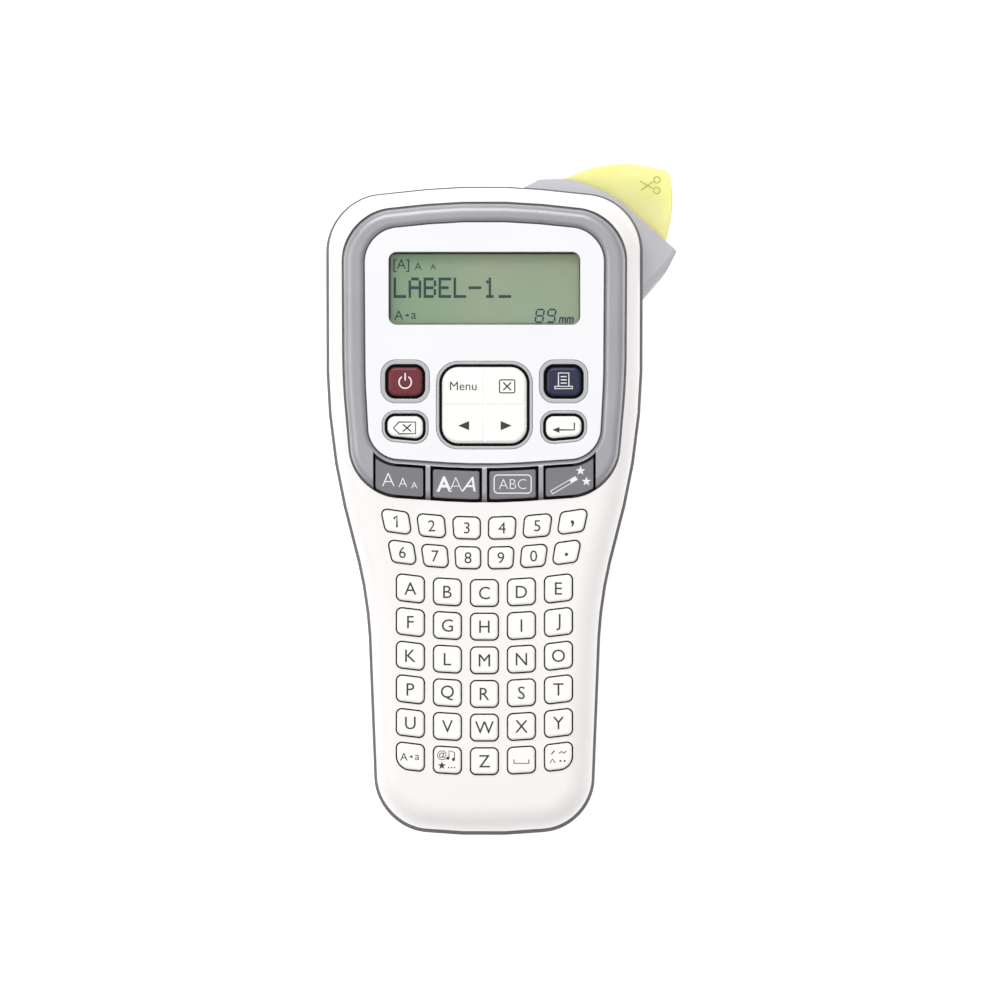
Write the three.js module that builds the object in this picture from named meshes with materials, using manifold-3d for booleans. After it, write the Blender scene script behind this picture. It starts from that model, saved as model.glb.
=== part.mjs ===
// Handheld label maker: a white front case on a silver-grey rear case, with a display, keys, a removable
// back cover over a tape cassette and six AAA cells, a printing mechanism and a thumb-operated cutter.
// Millimetres. The maker lies on its back: +Z points out of its face, +Y to its head, +X to its right.
// The origin is on the flat resting face of the back, on the centre line.
import * as THREE from "three";
import { mergeVertices } from "three/addons/utils/BufferGeometryUtils.js";
import Module from "manifold-3d";

const wasm = await Module();
wasm.setup();

// ------------------------------------------------------------------ driving sizes
// Case outline, seen from the front.
const HEAD_W = 97.8; // across the head
const WAIST_W = 72.4; // across the handle, where it meets the head's flare
const TAIL_W = 66.8; // across the tail
const HEAD_Y = 100.2; // top of the head, at the centre line
const TAIL_Y = -100.4; // end of the handle, at the centre line
const SHOULDER_Y = 21.5; // where the flare leaves the head's side
const WAIST_Y = -27.5; // where the flare meets the handle
const TOP_FALL = 4.6; // how far the crowned top edge falls to its corners
const TAIL_RISE = 2.8; // how far the crowned tail edge rises to its corners
const CORNER_R = 18;
const SHOULDER_R = 170;
const WAIST_R = 110;
const CROWN_R = 170;

// Shells.
const WALL = 1.8;
const RIM = 0.9; // how far the rear case shows outside the front case
const BACK_EDGE_R = 5;
const FACE_EDGE_R = 7;
const FIT = 0.3; // gap between touching pieces
const COVER_T = 2;
const COVER_INSET = 5.2; // from the case outline to the back cover
const GRIP_H = 11; // height of the finger hollow across the back of the handle
const GRIP_NEAR_Y = -4; // its end under the head
const GRIP_FAR_Y = -80; // its end at the tail
const GRIP_RAMP = 16; // length of each of its ends

// What the case holds.
const CELL_D = 10.5;
const CELL_L = 44.5;
const CELLS = 6;
const CELL_PITCH = 10.9;
const CELLS_DOWN = 4; // how far the row of cells lies below the middle of the grip hollow
const CASSETTE_W = 68;
const CASSETTE_L = 52;
const CASSETTE_H = 17;
const CASSETTE_WALL = 1.2;
const TAPE_W = 12;
const TAPE_T = 0.3;

// Heights above the bay floor.
const FLOOR_T = 1.6;
const MECH_SPACE = 14; // from the bay floor to the main board
const PART_RISE = 9.2; // from the bay floor to the line where the two cases meet
const BOARD_T = 1.6;
const SHEET_T = 0.6;
const KEY_TRAVEL = 1;
const FLANGE_T = 1.5;
const SHELF_T = 2.4;
const PANEL_T = 3.6;
const FACE_T = 2;

// Face: bezel ring, display panel and window.
const RING_TOP_Y = 94.9;
const RING_W = 87.2;
const RING_LOW_W = 80.4;
const RING_LOW_Y = 2.3;
const PANEL_TOP_Y = 88.9;
const PANEL_W = 73.8;
const PANEL_LOW_W = 70.6;
const PANEL_LOW_Y = 13.9;
const WINDOW = { x: 0, y: 68.3, w: 59, h: 22.4, r: 2.5 };
const LCD_MARGIN = 1.5;
const RING_PROUD = 1.4;
const PANEL_PROUD = 0.9;

// Keys.
const KEY_GAP = 0.5; // around a key, in its opening
const LETTER_PITCH_X = 11.4;
const LETTER_PITCH_Y = 10.36;
const LETTER_TOP_Y = -25.6; // middle of the first letter row
const LETTER_W = 8.2;
const LETTER_H = 7.8;
const LETTER_R = 1.5;
const ROW_BOW = 0.0027; // rows bow up to their ends by this times x squared
const NUMBER_Y = [-5.6, -14.8];
const NUMBER_H = [6.4, 6.3];
const NUMBER_PITCH = 10.84; // in the upper number row
const NUMBER_FAN = 0.08; // how the pitch grows with height, per mm
const NUMBER_FILL = 0.73; // key width as a share of the pitch
const KEY_PROUD = 1;
const ROUND_KEY_PROUD = 1.5;
const NAV_PROUD = 1.9;
const SIDE_KEY_X = 24.4; // power, print, backspace and enter keys
const POWER = { y: 39.6, w: 11, h: 9.3, r: 2.6 };
const BACKSPACE = { y: 25.4, w: 11.6, h: 7.0, r: 2.4, slant: 1 };
const NAV = { y: 32.3, w: 26.1, h: 23.5, r: 5 };
const FUNCTION_EDGES = [1.2, 16.2, 18.6, 33.8]; // x of the key sides, each side of the centre
const FUNCTION_STRIP = 1.9; // ring left between the panel and these keys

// Tape path, cutter and lever, at the head's right corner.
const EXIT_OUT = 2.9; // exit of the tape, outside the case's side
const EXIT_DOWN = 28.4; // exit of the tape, below the top of the head
const PATH_TURN = -40.8; // direction of the tape at the exit, in degrees
const PLATEN_R = 5;
const NIP_BACK = 18; // from the exit back to the platen
const BLADE_BACK = 7; // from the exit back to the blade
const BLADE_TRAVEL = 4.5;
const BLADE_T = 0.6;
const BLADE_EDGE_OUT = 0.9; // the blade's edge at rest, out from the tape's middle
const HEAD_PIN = { x: -NIP_BACK - 7, y: 2.3 }; // pivot of the print head, along and out from the exit
const LEVER_LOW_Z = 8;
const LEVER_HIGH_Z = 31;
const LEVER_WALL = 1.6;
const LEVER_TURN = 8.6; // degrees
const LEVER_R = 3; // of the boss round its pin
const PIN_SEAT = 2; // how far the pin reaches into the case at each end
const FIN_LOW_Z = 4.3;

// Gears.
const MODULE = 0.75;
const PINION_TEETH = 10;
const REDUCTION_TEETH = [28, 12]; // big wheel, small wheel
const PLATEN_TEETH = 24;
const RIBBON_SPAN = 16.5; // from the platen to the ribbon's take-up spool, to the nearest tooth
const RIBBON_TEETH = Math.round((2 * RIBBON_SPAN) / MODULE) - PLATEN_TEETH;
const REDUCTION_AT = -100; // degrees, from the platen
const MOTOR_AT = -65; // degrees, from the reduction gear
const RIBBON_AT = 200; // degrees, from the platen
const GEAR_T = 2.6;
const MOTOR_R = 7.5;
const MOTOR_L = 19;
const PIN_R = 1;
const SCREW_R = 1.2;
const SCREW_IN = 2.3; // from the bezel ring's lower side to the case screws
const INLET_DOWN = 38; // DC inlet, below the top of the head
const INLET_RISE = 5; // and above the bay floor

// ------------------------------------------------------------------ derived heights and places
const CASSETTE_Z = COVER_T + 2;
const CELL_Z = GRIP_H + COVER_T + 0.8 + CELL_D / 2;
const FLOOR_Z = Math.max(CELL_Z + CELL_D / 2, CASSETTE_Z + CASSETTE_H) + 0.9;
const FLOOR_TOP = FLOOR_Z + FLOOR_T;
const PART_Z = FLOOR_TOP + PART_RISE;
const BOARD_Z = FLOOR_TOP + MECH_SPACE;
const SHEET_Z = BOARD_Z + BOARD_T + FIT;
const FLANGE_Z = SHEET_Z + SHEET_T + KEY_TRAVEL + 0.4;
const SHELF_Z = FLANGE_Z + FLANGE_T + 0.4;
const RECESS_Z = SHELF_Z + SHELF_T;
const PANEL_Z = RECESS_Z + FIT;
const FACE_Z = PANEL_Z + PANEL_T - PANEL_PROUD;
const TAPE_Z = CASSETTE_Z + CASSETTE_H / 2;
const CELL_Y0 = (GRIP_NEAR_Y + GRIP_FAR_Y) / 2 - ((CELLS - 1) * CELL_PITCH) / 2 - CELLS_DOWN;

const EXIT = new THREE.Vector2(HEAD_W / 2 + EXIT_OUT, HEAD_Y - EXIT_DOWN);
const TURN = THREE.MathUtils.degToRad(PATH_TURN);
const ALONG = new THREE.Vector2(Math.cos(TURN), Math.sin(TURN));
const OUTWARD = new THREE.Vector2(-Math.sin(TURN), Math.cos(TURN));
const PATH = new THREE.Matrix4().makeRotationZ(TURN).setPosition(EXIT.x, EXIT.y, 0);
const fromExit = (along, out) => EXIT.clone().addScaledVector(ALONG, along).addScaledVector(OUTWARD, out);

const PLATEN = fromExit(-NIP_BACK, -(PLATEN_R + FIT + TAPE_T / 2));
const pitchR = (teeth) => (MODULE * teeth) / 2;
const polar = (from, length, degrees) => {
  const a = THREE.MathUtils.degToRad(degrees);
  return new THREE.Vector2(from.x + length * Math.cos(a), from.y + length * Math.sin(a));
};
const REDUCTION = polar(PLATEN, pitchR(PLATEN_TEETH) + pitchR(REDUCTION_TEETH[1]), REDUCTION_AT);
const MOTOR = polar(REDUCTION, pitchR(REDUCTION_TEETH[0]) + pitchR(PINION_TEETH), MOTOR_AT);
const RIBBON = polar(PLATEN, pitchR(PLATEN_TEETH) + pitchR(RIBBON_TEETH), RIBBON_AT);
const LOW_GEAR_Z = FLOOR_TOP + 2;
const HIGH_GEAR_Z = LOW_GEAR_Z + GEAR_T + 0.5;
const CASSETTE = { x1: PLATEN.x - PLATEN_R - 2.3, y1: PLATEN.y + PLATEN_R + 2.6 };
CASSETTE.x0 = CASSETTE.x1 - CASSETTE_W;
CASSETTE.y0 = CASSETTE.y1 - CASSETTE_L;
const ROLL = { x: CASSETTE.x0 + 21, y: CASSETTE.y1 - 22, r: 17.5 };
const SUPPLY = { x: CASSETTE.x0 + 47, y: CASSETTE.y0 + 13, r: 8.5 };
const PIVOT = new THREE.Vector2(EXIT.x - 25.8, EXIT.y + 26.6);
const SCREW = { x: RING_LOW_W / 2 - SCREW_IN, y: SHOULDER_Y - 9 };
const INLET = { y: HEAD_Y - INLET_DOWN, z: FLOOR_TOP + INLET_RISE };

// ------------------------------------------------------------------ outlines
// A rounded outline from corners { x, y, r } in anticlockwise order, drawn in by inset.
function outline(corners, inset = 0, steps = 3) {
  const n = corners.length;
  const edges = corners.map((a, i) => {
    const b = corners[(i + 1) % n];
    const dir = new THREE.Vector2(b.x - a.x, b.y - a.y).normalize();
    return { from: new THREE.Vector2(a.x - dir.y * inset, a.y + dir.x * inset), dir };
  });
  const bends = corners.map((c, i) => {
    const before = edges[(i + n - 1) % n];
    const after = edges[i];
    const cross = before.dir.cross(after.dir);
    const turn = Math.atan2(cross, before.dir.dot(after.dir));
    const between = after.from.clone().sub(before.from);
    const corner = before.from.clone().addScaledVector(before.dir, between.cross(after.dir) / cross);
    const radius = Math.max(c.r - Math.sign(turn) * inset, 0.05);
    return { dir: before.dir, turn, corner, reach: radius * Math.tan(Math.abs(turn) / 2) };
  });
  // Two fillets that share an edge fit on its length.
  bends.forEach((bend, i) => {
    const next = bends[(i + 1) % n];
    const room = 0.98 * bend.corner.distanceTo(next.corner);
    const share = Math.min(1, room / (bend.reach + next.reach));
    bend.reach *= share;
    next.reach *= share;
  });
  const points = [];
  for (const { dir, turn, corner, reach } of bends) {
    const radius = reach / Math.tan(Math.abs(turn) / 2);
    const inward = new THREE.Vector2(-dir.y, dir.x).multiplyScalar(Math.sign(turn));
    const centre = corner.clone().addScaledVector(dir, -reach).addScaledVector(inward, radius);
    for (let k = 0; k <= steps; k++) {
      const spoke = inward.clone().multiplyScalar(-radius);
      points.push(spoke.rotateAround(new THREE.Vector2(), (turn * k) / steps).add(centre));
    }
  }
  return points;
}

// The whole outline from its right-hand corners, bottom to top; corners on x = 0 aren't repeated.
function mirrored(right) {
  const left = right.filter((c) => c.x > 0).reverse();
  return [...right, ...left.map((c) => ({ ...c, x: -c.x }))];
}

const CASE = mirrored([
  { x: 0, y: TAIL_Y, r: CROWN_R },
  { x: TAIL_W / 2, y: TAIL_Y + TAIL_RISE, r: CORNER_R },
  { x: WAIST_W / 2, y: WAIST_Y, r: WAIST_R },
  { x: HEAD_W / 2 - 0.2, y: SHOULDER_Y, r: SHOULDER_R },
  { x: HEAD_W / 2, y: HEAD_Y - TOP_FALL, r: CORNER_R },
  { x: 0, y: HEAD_Y, r: CROWN_R },
]);
const RING = mirrored([
  { x: 0, y: RING_LOW_Y, r: CROWN_R },
  { x: RING_LOW_W / 2, y: RING_LOW_Y + 2.8, r: 15.5 },
  { x: RING_W / 2 - 0.3, y: 40, r: CROWN_R },
  { x: RING_W / 2, y: RING_TOP_Y - 3.8, r: 16 },
  { x: 0, y: RING_TOP_Y, r: CROWN_R },
]);
const PANEL = mirrored([
  { x: 0, y: PANEL_LOW_Y, r: CROWN_R },
  { x: PANEL_LOW_W / 2, y: PANEL_LOW_Y + 2.4, r: 9.5 },
  { x: PANEL_W / 2 - 0.3, y: 40, r: CROWN_R },
  { x: PANEL_W / 2, y: PANEL_TOP_Y - 3.2, r: 10.5 },
  { x: 0, y: PANEL_TOP_Y, r: CROWN_R },
]);

// The outside of the fin, anticlockwise; its last points lie inside the case.
const FIN = [
  { x: HEAD_W / 2 - 2.6, y: EXIT.y - 10, r: 0.5 },
  { x: HEAD_W / 2 + 7, y: EXIT.y + 1.2, r: 8 },
  { x: HEAD_W / 2 + 10.6, y: EXIT.y + 8.2, r: 1.2 },
  { x: HEAD_W / 2 - 8.6, y: HEAD_Y - 3.4, r: 22 },
  { x: HEAD_W / 2 - 22, y: HEAD_Y + 2.2, r: 14 },
  { x: HEAD_W / 2 - 32, y: HEAD_Y + 1.9, r: 3 },
  { x: HEAD_W / 2 - 39, y: HEAD_Y - 1.7, r: 0.5 },
  { x: HEAD_W / 2 - 22, y: HEAD_Y - 8, r: 0.5 },
  { x: HEAD_W / 2 - 8, y: HEAD_Y - 20, r: 0.5 },
];
// The cutter lever: the thumb's outer edge, then the inner edge, hidden under the fin.
const LEVER = [
  { x: PIVOT.x + 29.4, y: PIVOT.y - 18.0, r: 1 },
  { x: PIVOT.x + 32.8, y: PIVOT.y - 4.5, r: 30 },
  { x: PIVOT.x + 31.2, y: PIVOT.y + 6.3, r: 2.6 },
  { x: PIVOT.x + 14.5, y: PIVOT.y + 10.3, r: 34 },
  { x: PIVOT.x - 3.4, y: PIVOT.y + 3.4, r: 1.6 },
  { x: PIVOT.x - 3.0, y: PIVOT.y - 3, r: 2 },
  { x: PIVOT.x + 10.0, y: PIVOT.y - 2.2, r: 6 },
  { x: PIVOT.x + 24.6, y: PIVOT.y - 14.2, r: 6 },
];

// ------------------------------------------------------------------ solids
function solid(geometry) {
  geometry.deleteAttribute("normal");
  geometry.deleteAttribute("uv");
  const merged = mergeVertices(geometry, 1e-4);
  const vertProperties = merged.getAttribute("position").array;
  const triVerts = new Uint32Array(merged.index.array);
  return new wasm.Manifold(new wasm.Mesh({ numProp: 3, vertProperties, triVerts }));
}
function prismGeometry(points, z0, z1) {
  const shape = new THREE.Shape(points);
  return new THREE.ExtrudeGeometry(shape, { depth: z1 - z0, bevelEnabled: false }).translate(0, 0, z0);
}
const prism = (points, z0, z1) => solid(prismGeometry(points, z0, z1));
const pathPrism = (points, z0, z1) => solid(prismGeometry(points, z0, z1).applyMatrix4(PATH));
const rectangle = (x0, x1, y0, y1) => [
  new THREE.Vector2(x0, y0),
  new THREE.Vector2(x1, y0),
  new THREE.Vector2(x1, y1),
  new THREE.Vector2(x0, y1),
];
const box = (x0, x1, y0, y1, z0, z1) => prism(rectangle(x0, x1, y0, y1), z0, z1);
function disc(at, radius, z0, z1, sides = 20) {
  const g = new THREE.CylinderGeometry(radius, radius, z1 - z0, sides).rotateX(Math.PI / 2);
  return solid(g.translate(at.x, at.y, (z0 + z1) / 2));
}
// A prism whose lower or upper rim is rounded.
function rounded(points, z0, z1, radius, low, steps = 3) {
  const g = new THREE.ExtrudeGeometry(new THREE.Shape(points), {
    depth: z1 - z0,
    bevelThickness: radius,
    bevelSize: radius,
    bevelOffset: -radius,
    bevelSegments: steps,
  });
  const whole = solid(g.translate(0, 0, low ? z0 + radius : z0 - radius));
  const reach = HEAD_W + HEAD_Y - TAIL_Y;
  return whole.intersect(box(-reach, reach, -reach, reach, z0, z1));
}
// The space behind the grip hollow's surface, from below the back up to its curve plus rise.
function gripHollow(rise) {
  const near = GRIP_NEAR_Y + rise;
  const far = GRIP_FAR_Y - rise;
  const top = GRIP_H + rise;
  const bend = GRIP_RAMP / 2;
  const shape = new THREE.Shape();
  const floor = rise > 0 ? rise : 0;
  shape.moveTo(far, -1);
  shape.lineTo(far, floor);
  shape.bezierCurveTo(far + bend, floor, far + bend, top, far + GRIP_RAMP, top);
  shape.lineTo(near - GRIP_RAMP, top);
  shape.bezierCurveTo(near - bend, top, near - bend, floor, near, floor);
  shape.lineTo(near, -1);
  const g = new THREE.ExtrudeGeometry(shape, { depth: HEAD_W, bevelEnabled: false, curveSegments: 6 });
  // The shape's x and y become Y and Z; the extrusion runs along X.
  g.applyMatrix4(new THREE.Matrix4().makeBasis(
    new THREE.Vector3(0, 1, 0),
    new THREE.Vector3(0, 0, 1),
    new THREE.Vector3(1, 0, 0),
  ));
  return solid(g.translate(-HEAD_W / 2, 0, 0));
}
function finish(color, roughness, metalness = 0) {
  return new THREE.MeshStandardMaterial({ color, roughness, metalness });
}
const MATERIALS = {
  white: finish(0xf4f2ef, 0.5),
  panel: finish(0xf2f2f5, 0.4),
  grey: finish(0xb4b4b8, 0.45),
  silver: finish(0xa8a8ac, 0.35),
  clear: finish(0xdfe6df, 0.1),
  lcd: finish(0x96af8c, 0.3),
  dark: finish(0x2c2c2e, 0.6),
  board: finish(0x2c6b45, 0.5),
  contact: finish(0xd8d4cc, 0.6),
  red: finish(0x82202f, 0.4),
  navy: finish(0x1e2a5c, 0.4),
  key: finish(0xfaf9f4, 0.5),
  greyKey: finish(0x88888d, 0.45),
  lime: finish(0xe8f08c, 0.25),
  steel: finish(0xb8babd, 0.3, 1),
  aluminium: finish(0xc4c6c8, 0.4, 1),
  nylon: finish(0xe9e4d6, 0.5),
  rubber: finish(0x1c1c1c, 0.8),
  cassette: finish(0xd9d9d6, 0.4),
  tape: finish(0xfcfcf8, 0.5),
  ribbon: finish(0x151515, 0.5),
  cell: finish(0x31486b, 0.4),
};

const labelMaker = new THREE.Group();
const tapePath = new THREE.Group();
tapePath.position.set(EXIT.x, EXIT.y, 0);
tapePath.rotation.z = TURN;
labelMaker.add(tapePath);

function add(name, shape, material, group = labelMaker) {
  const mesh = shape.getMesh();
  const geometry = new THREE.BufferGeometry();
  geometry.setAttribute("position", new THREE.BufferAttribute(mesh.vertProperties, 3));
  geometry.setIndex(new THREE.BufferAttribute(mesh.triVerts, 1));
  const piece = new THREE.Mesh(geometry, material);
  piece.name = name;
  group.add(piece);
  return piece;
}

// ------------------------------------------------------------------ keys, as corner lists
const rowY = (y, x) => y + ROW_BOW * x * x;
function letterCorners(column, row) {
  const y = LETTER_TOP_Y - row * LETTER_PITCH_Y;
  const x0 = column * LETTER_PITCH_X - LETTER_W / 2;
  const x1 = x0 + LETTER_W;
  const corner = (x, up) => ({ x, y: rowY(y, x) + (up * LETTER_H) / 2, r: LETTER_R });
  return [corner(x0, -1), corner(x1, -1), corner(x1, 1), corner(x0, 1)];
}
function numberCorners(place, row) {
  const corner = (side, up) => {
    const level = NUMBER_Y[row] + (up * NUMBER_H[row]) / 2;
    const pitch = NUMBER_PITCH + NUMBER_FAN * (level - NUMBER_Y[0]);
    const x = (place + (side * NUMBER_FILL) / 2) * pitch;
    return { x, y: rowY(level, x), r: LETTER_R };
  };
  return [corner(-1, -1), corner(1, -1), corner(1, 1), corner(-1, 1)];
}
function plainCorners(x, y, w, h, r) {
  return [
    { x: x - w / 2, y: y - h / 2, r },
    { x: x + w / 2, y: y - h / 2, r },
    { x: x + w / 2, y: y + h / 2, r },
    { x: x - w / 2, y: y + h / 2, r },
  ];
}
// The backspace key's lower edge rises to the outside; side is -1 for the left one, 1 for the right.
function backspaceCorners(side) {
  const corners = plainCorners(side * SIDE_KEY_X, BACKSPACE.y, BACKSPACE.w, BACKSPACE.h, BACKSPACE.r);
  corners[side < 0 ? 0 : 1].y += BACKSPACE.slant;
  return corners;
}
const FIVE = [-2, -1, 0, 1, 2];
const SIX = [-2.5, -1.5, -0.5, 0.5, 1.5, 2.5];
const KEY_ROWS = [
  ...[0, 1].map((row) => ({
    name: ["number_keys_upper", "number_keys_lower"][row],
    y: NUMBER_Y[row],
    keys: SIX.map((place) => numberCorners(place, row)),
  })),
  ...[0, 1, 2, 3, 4, 5].map((row) => ({
    name: "letter_keys_" + (row + 1),
    y: LETTER_TOP_Y - row * LETTER_PITCH_Y,
    keys: FIVE.map((column) => letterCorners(column, row)),
  })),
];
const placed = (key, x) => plainCorners(x, key.y, key.w, key.h, key.r);
const PANEL_KEYS = [
  { name: "power_key", corners: placed(POWER, -SIDE_KEY_X), material: "red" },
  { name: "print_key", corners: placed(POWER, SIDE_KEY_X), material: "navy" },
  { name: "backspace_key", corners: backspaceCorners(-1), material: "key" },
  { name: "enter_key", corners: backspaceCorners(1), material: "key" },
  { name: "navigation_key", corners: placed(NAV, 0), material: "key", nav: true },
];
const FUNCTION_KEYS = [
  { name: "text_size_key", x0: -FUNCTION_EDGES[3], x1: -FUNCTION_EDGES[2] },
  { name: "text_style_key", x0: -FUNCTION_EDGES[1], x1: -FUNCTION_EDGES[0] },
  { name: "frame_key", x0: FUNCTION_EDGES[0], x1: FUNCTION_EDGES[1] },
  { name: "decoration_key", x0: FUNCTION_EDGES[2], x1: FUNCTION_EDGES[3] },
];
// A function key's prism, grown by grow on every side.
function functionPrism(key, grow, z0, z1) {
  const outer = prism(outline(RING, KEY_GAP - grow * 2, 3), z0, z1);
  const inner = prism(outline(PANEL, -FUNCTION_STRIP + grow, 3), z0 - 1, z1 + 1);
  const column = box(key.x0 - grow, key.x1 + grow, RING_LOW_Y - 9, PANEL_LOW_Y + 9, z0, z1);
  return outer.intersect(column).subtract(inner);
}

// ------------------------------------------------------------------ cases
function rearCase() {
  const outer = rounded(outline(CASE), 0, PART_Z, BACK_EDGE_R, true);
  const cavity = rounded(outline(CASE, WALL), COVER_T, PART_Z + 1, BACK_EDGE_R - WALL, true, 1);
  let shell = outer.subtract(cavity);
  const floor = prism(outline(CASE, WALL - 0.2), FLOOR_Z, FLOOR_TOP);
  shell = shell.add(floor);
  shell = shell.add(gripHollow(COVER_T).intersect(outer));
  shell = shell.subtract(gripHollow(0));
  // Side and end walls of the battery bay.
  const bayX = CELL_L / 2 + 3.2;
  const y0 = CELL_Y0 - CELL_D / 2 - 1;
  const y1 = CELL_Y0 + (CELLS - 1) * CELL_PITCH + CELL_D / 2 + 1;
  const low = CELL_Z - CELL_D / 2 + 1;
  for (const side of [-1, 1]) {
    const x = [side * bayX, side * (bayX + WALL)].sort((a, b) => a - b);
    shell = shell.add(box(x[0], x[1], y0, y1, low, FLOOR_Z + 0.1));
  }
  for (const y of [y0 - WALL, y1]) {
    shell = shell.add(box(-bayX - WALL, bayX + WALL, y, y + WALL, low, FLOOR_Z + 0.1));
  }
  // Fin round the tape exit.
  const fin = prism(outline(FIN, 0, 3), FIN_LOW_Z, PART_Z);
  shell = shell.add(fin.subtract(prism(outline(CASE, WALL), 0, PART_Z + 1)));
  // Opening for the back cover.
  shell = shell.subtract(prism(outline(CASE, COVER_INSET), -1, GRIP_H + COVER_T + 0.5));
  // Room for the lever's swing, the blade carrier, the tape and the head arm.
  for (const part of [0, 0.5, 1]) {
    const g = prismGeometry(outline(LEVER, -0.7, 2), LEVER_LOW_Z - 0.6, LEVER_HIGH_Z + 0.6);
    g.translate(-PIVOT.x, -PIVOT.y, 0);
    g.rotateZ(-THREE.MathUtils.degToRad(LEVER_TURN) * part).translate(PIVOT.x, PIVOT.y, 0);
    shell = shell.subtract(solid(g));
  }
  const carrier = rectangle(-BLADE_BACK - 3.6, -BLADE_BACK + 3.6, -BLADE_TRAVEL - 1.5, 10);
  shell = shell.subtract(pathPrism(carrier, LEVER_LOW_Z - 2.7, LEVER_HIGH_Z - 5));
  shell = shell.subtract(pathPrism(rectangle(-NIP_BACK, 9, -1, 1), -1, TAPE_Z + TAPE_W / 2 + 1));
  shell = shell.subtract(disc(PIVOT, LEVER_R + 1 + FIT, TAPE_Z - 3, TAPE_Z + 3, 16));
  const seatDepth = PIN_SEAT + FIT;
  shell = shell.subtract(disc(PIVOT, PIN_R + FIT, LEVER_LOW_Z - seatDepth, LEVER_HIGH_Z + seatDepth, 12));
  // Shaft holes in the floor, screw holes and the DC inlet's hole.
  for (const [at, r] of [[PLATEN, PIN_R + 0.5], [MOTOR, PIN_R + 0.5], [RIBBON, 3.6], [REDUCTION, PIN_R + FIT]]) {
    shell = shell.subtract(disc(at, r, FLOOR_Z - 1, FLOOR_TOP + 1, 12));
  }
  for (const side of [-1, 1]) {
    const screw = { x: side * SCREW.x, y: SCREW.y };
    shell = shell.subtract(disc(screw, SCREW_R + FIT, FLOOR_Z - 1, FLOOR_TOP + 1, 12));
  }
  const inlet = new THREE.CylinderGeometry(3.4, 3.4, 12, 16).rotateZ(Math.PI / 2);
  inlet.translate(-HEAD_W / 2, INLET.y, INLET.z);
  shell = shell.subtract(solid(inlet));
  add("rear_case", shell, MATERIALS.grey);
}

function frontCase() {
  const outer = rounded(outline(CASE, RIM), PART_Z + FIT, FACE_Z, FACE_EDGE_R, false);
  const cavity = rounded(outline(CASE, RIM + WALL), PART_Z, FACE_Z - FACE_T, FACE_EDGE_R / 3, false, 1);
  let shell = outer.subtract(cavity);
  shell = shell.add(prism(outline(RING, -2), SHELF_Z, FACE_Z - FACE_T + 0.1));
  shell = shell.subtract(prism(outline(RING, -KEY_GAP), RECESS_Z, FACE_Z + 1));
  const w = WINDOW.w / 2 + LCD_MARGIN + FIT;
  const h = WINDOW.h / 2 + LCD_MARGIN + FIT;
  shell = shell.subtract(box(WINDOW.x - w, WINDOW.x + w, WINDOW.y - h, WINDOW.y + h, SHELF_Z - 1, FACE_Z));
  for (const key of PANEL_KEYS) {
    shell = shell.subtract(prism(outline(key.corners, -KEY_GAP, 2), SHELF_Z - 1, FACE_Z));
  }
  for (const key of FUNCTION_KEYS) shell = shell.subtract(functionPrism(key, KEY_GAP, SHELF_Z - 1, FACE_Z));
  for (const row of KEY_ROWS) {
    for (const key of row.keys) {
      shell = shell.subtract(prism(outline(key, -KEY_GAP, 1), FACE_Z - FACE_T - 1, FACE_Z + 1));
    }
  }
  for (const side of [-1, 1]) {
    const at = { x: side * SCREW.x, y: SCREW.y };
    shell = shell.add(disc(at, 3.2, FLOOR_TOP + FIT, SHELF_Z + 0.5, 12));
    shell = shell.subtract(disc(at, SCREW_R + FIT, FLOOR_TOP, SHELF_Z - 4, 12));
  }
  add("front_case", shell, MATERIALS.white);
}

function backCover() {
  const plate = prism(outline(CASE, COVER_INSET + FIT), 0, GRIP_H + COVER_T + 1);
  const flat = box(-HEAD_W, HEAD_W, TAIL_Y, HEAD_Y, 0, COVER_T);
  const skin = flat.add(gripHollow(COVER_T));
  add("back_cover", plate.intersect(skin).subtract(gripHollow(0)), MATERIALS.grey);
}

// ------------------------------------------------------------------ face
function ringAndPanel() {
  let ring = rounded(outline(RING), PANEL_Z, FACE_Z + RING_PROUD, 1.2, false, 1);
  ring = ring.subtract(prism(outline(PANEL, -FIT), PANEL_Z - 1, FACE_Z + 3));
  for (const key of FUNCTION_KEYS) ring = ring.subtract(functionPrism(key, KEY_GAP, PANEL_Z - 1, FACE_Z + 3));
  add("bezel_ring", ring, MATERIALS.silver);

  let panel = prism(outline(PANEL), PANEL_Z, PANEL_Z + PANEL_T);
  const window = plainCorners(WINDOW.x, WINDOW.y, WINDOW.w, WINDOW.h, WINDOW.r);
  const rebate = PANEL_Z + 1.4;
  panel = panel.subtract(prism(outline(window, 0, 2), PANEL_Z - 1, FACE_Z + 3));
  panel = panel.subtract(prism(outline(window, -1, 1), PANEL_Z - 1, rebate));
  for (const key of PANEL_KEYS) {
    panel = panel.subtract(prism(outline(key.corners, -KEY_GAP, 2), PANEL_Z - 1, FACE_Z + 3));
  }
  add("display_panel", panel, MATERIALS.panel);
  add("display_window", prism(outline(window, -1 + FIT, 1), PANEL_Z + 0.1, rebate - 0.2), MATERIALS.clear);
}

function display() {
  const w = WINDOW.w / 2 + LCD_MARGIN;
  const h = WINDOW.h / 2 + LCD_MARGIN;
  const cellZ = PANEL_Z - 0.4 - 2.2;
  const at = [WINDOW.x - w, WINDOW.x + w, WINDOW.y - h, WINDOW.y + h];
  add("lcd_cell", box(...at, cellZ, cellZ + 2.2), MATERIALS.lcd);
  const holder = box(...at, SHEET_Z, cellZ - FIT);
  const hollow = box(at[0] + 2, at[1] - 2, at[2] + 2, at[3] - 2, SHEET_Z - 1, cellZ);
  add("lcd_holder", holder.subtract(hollow), MATERIALS.dark);
}

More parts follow.
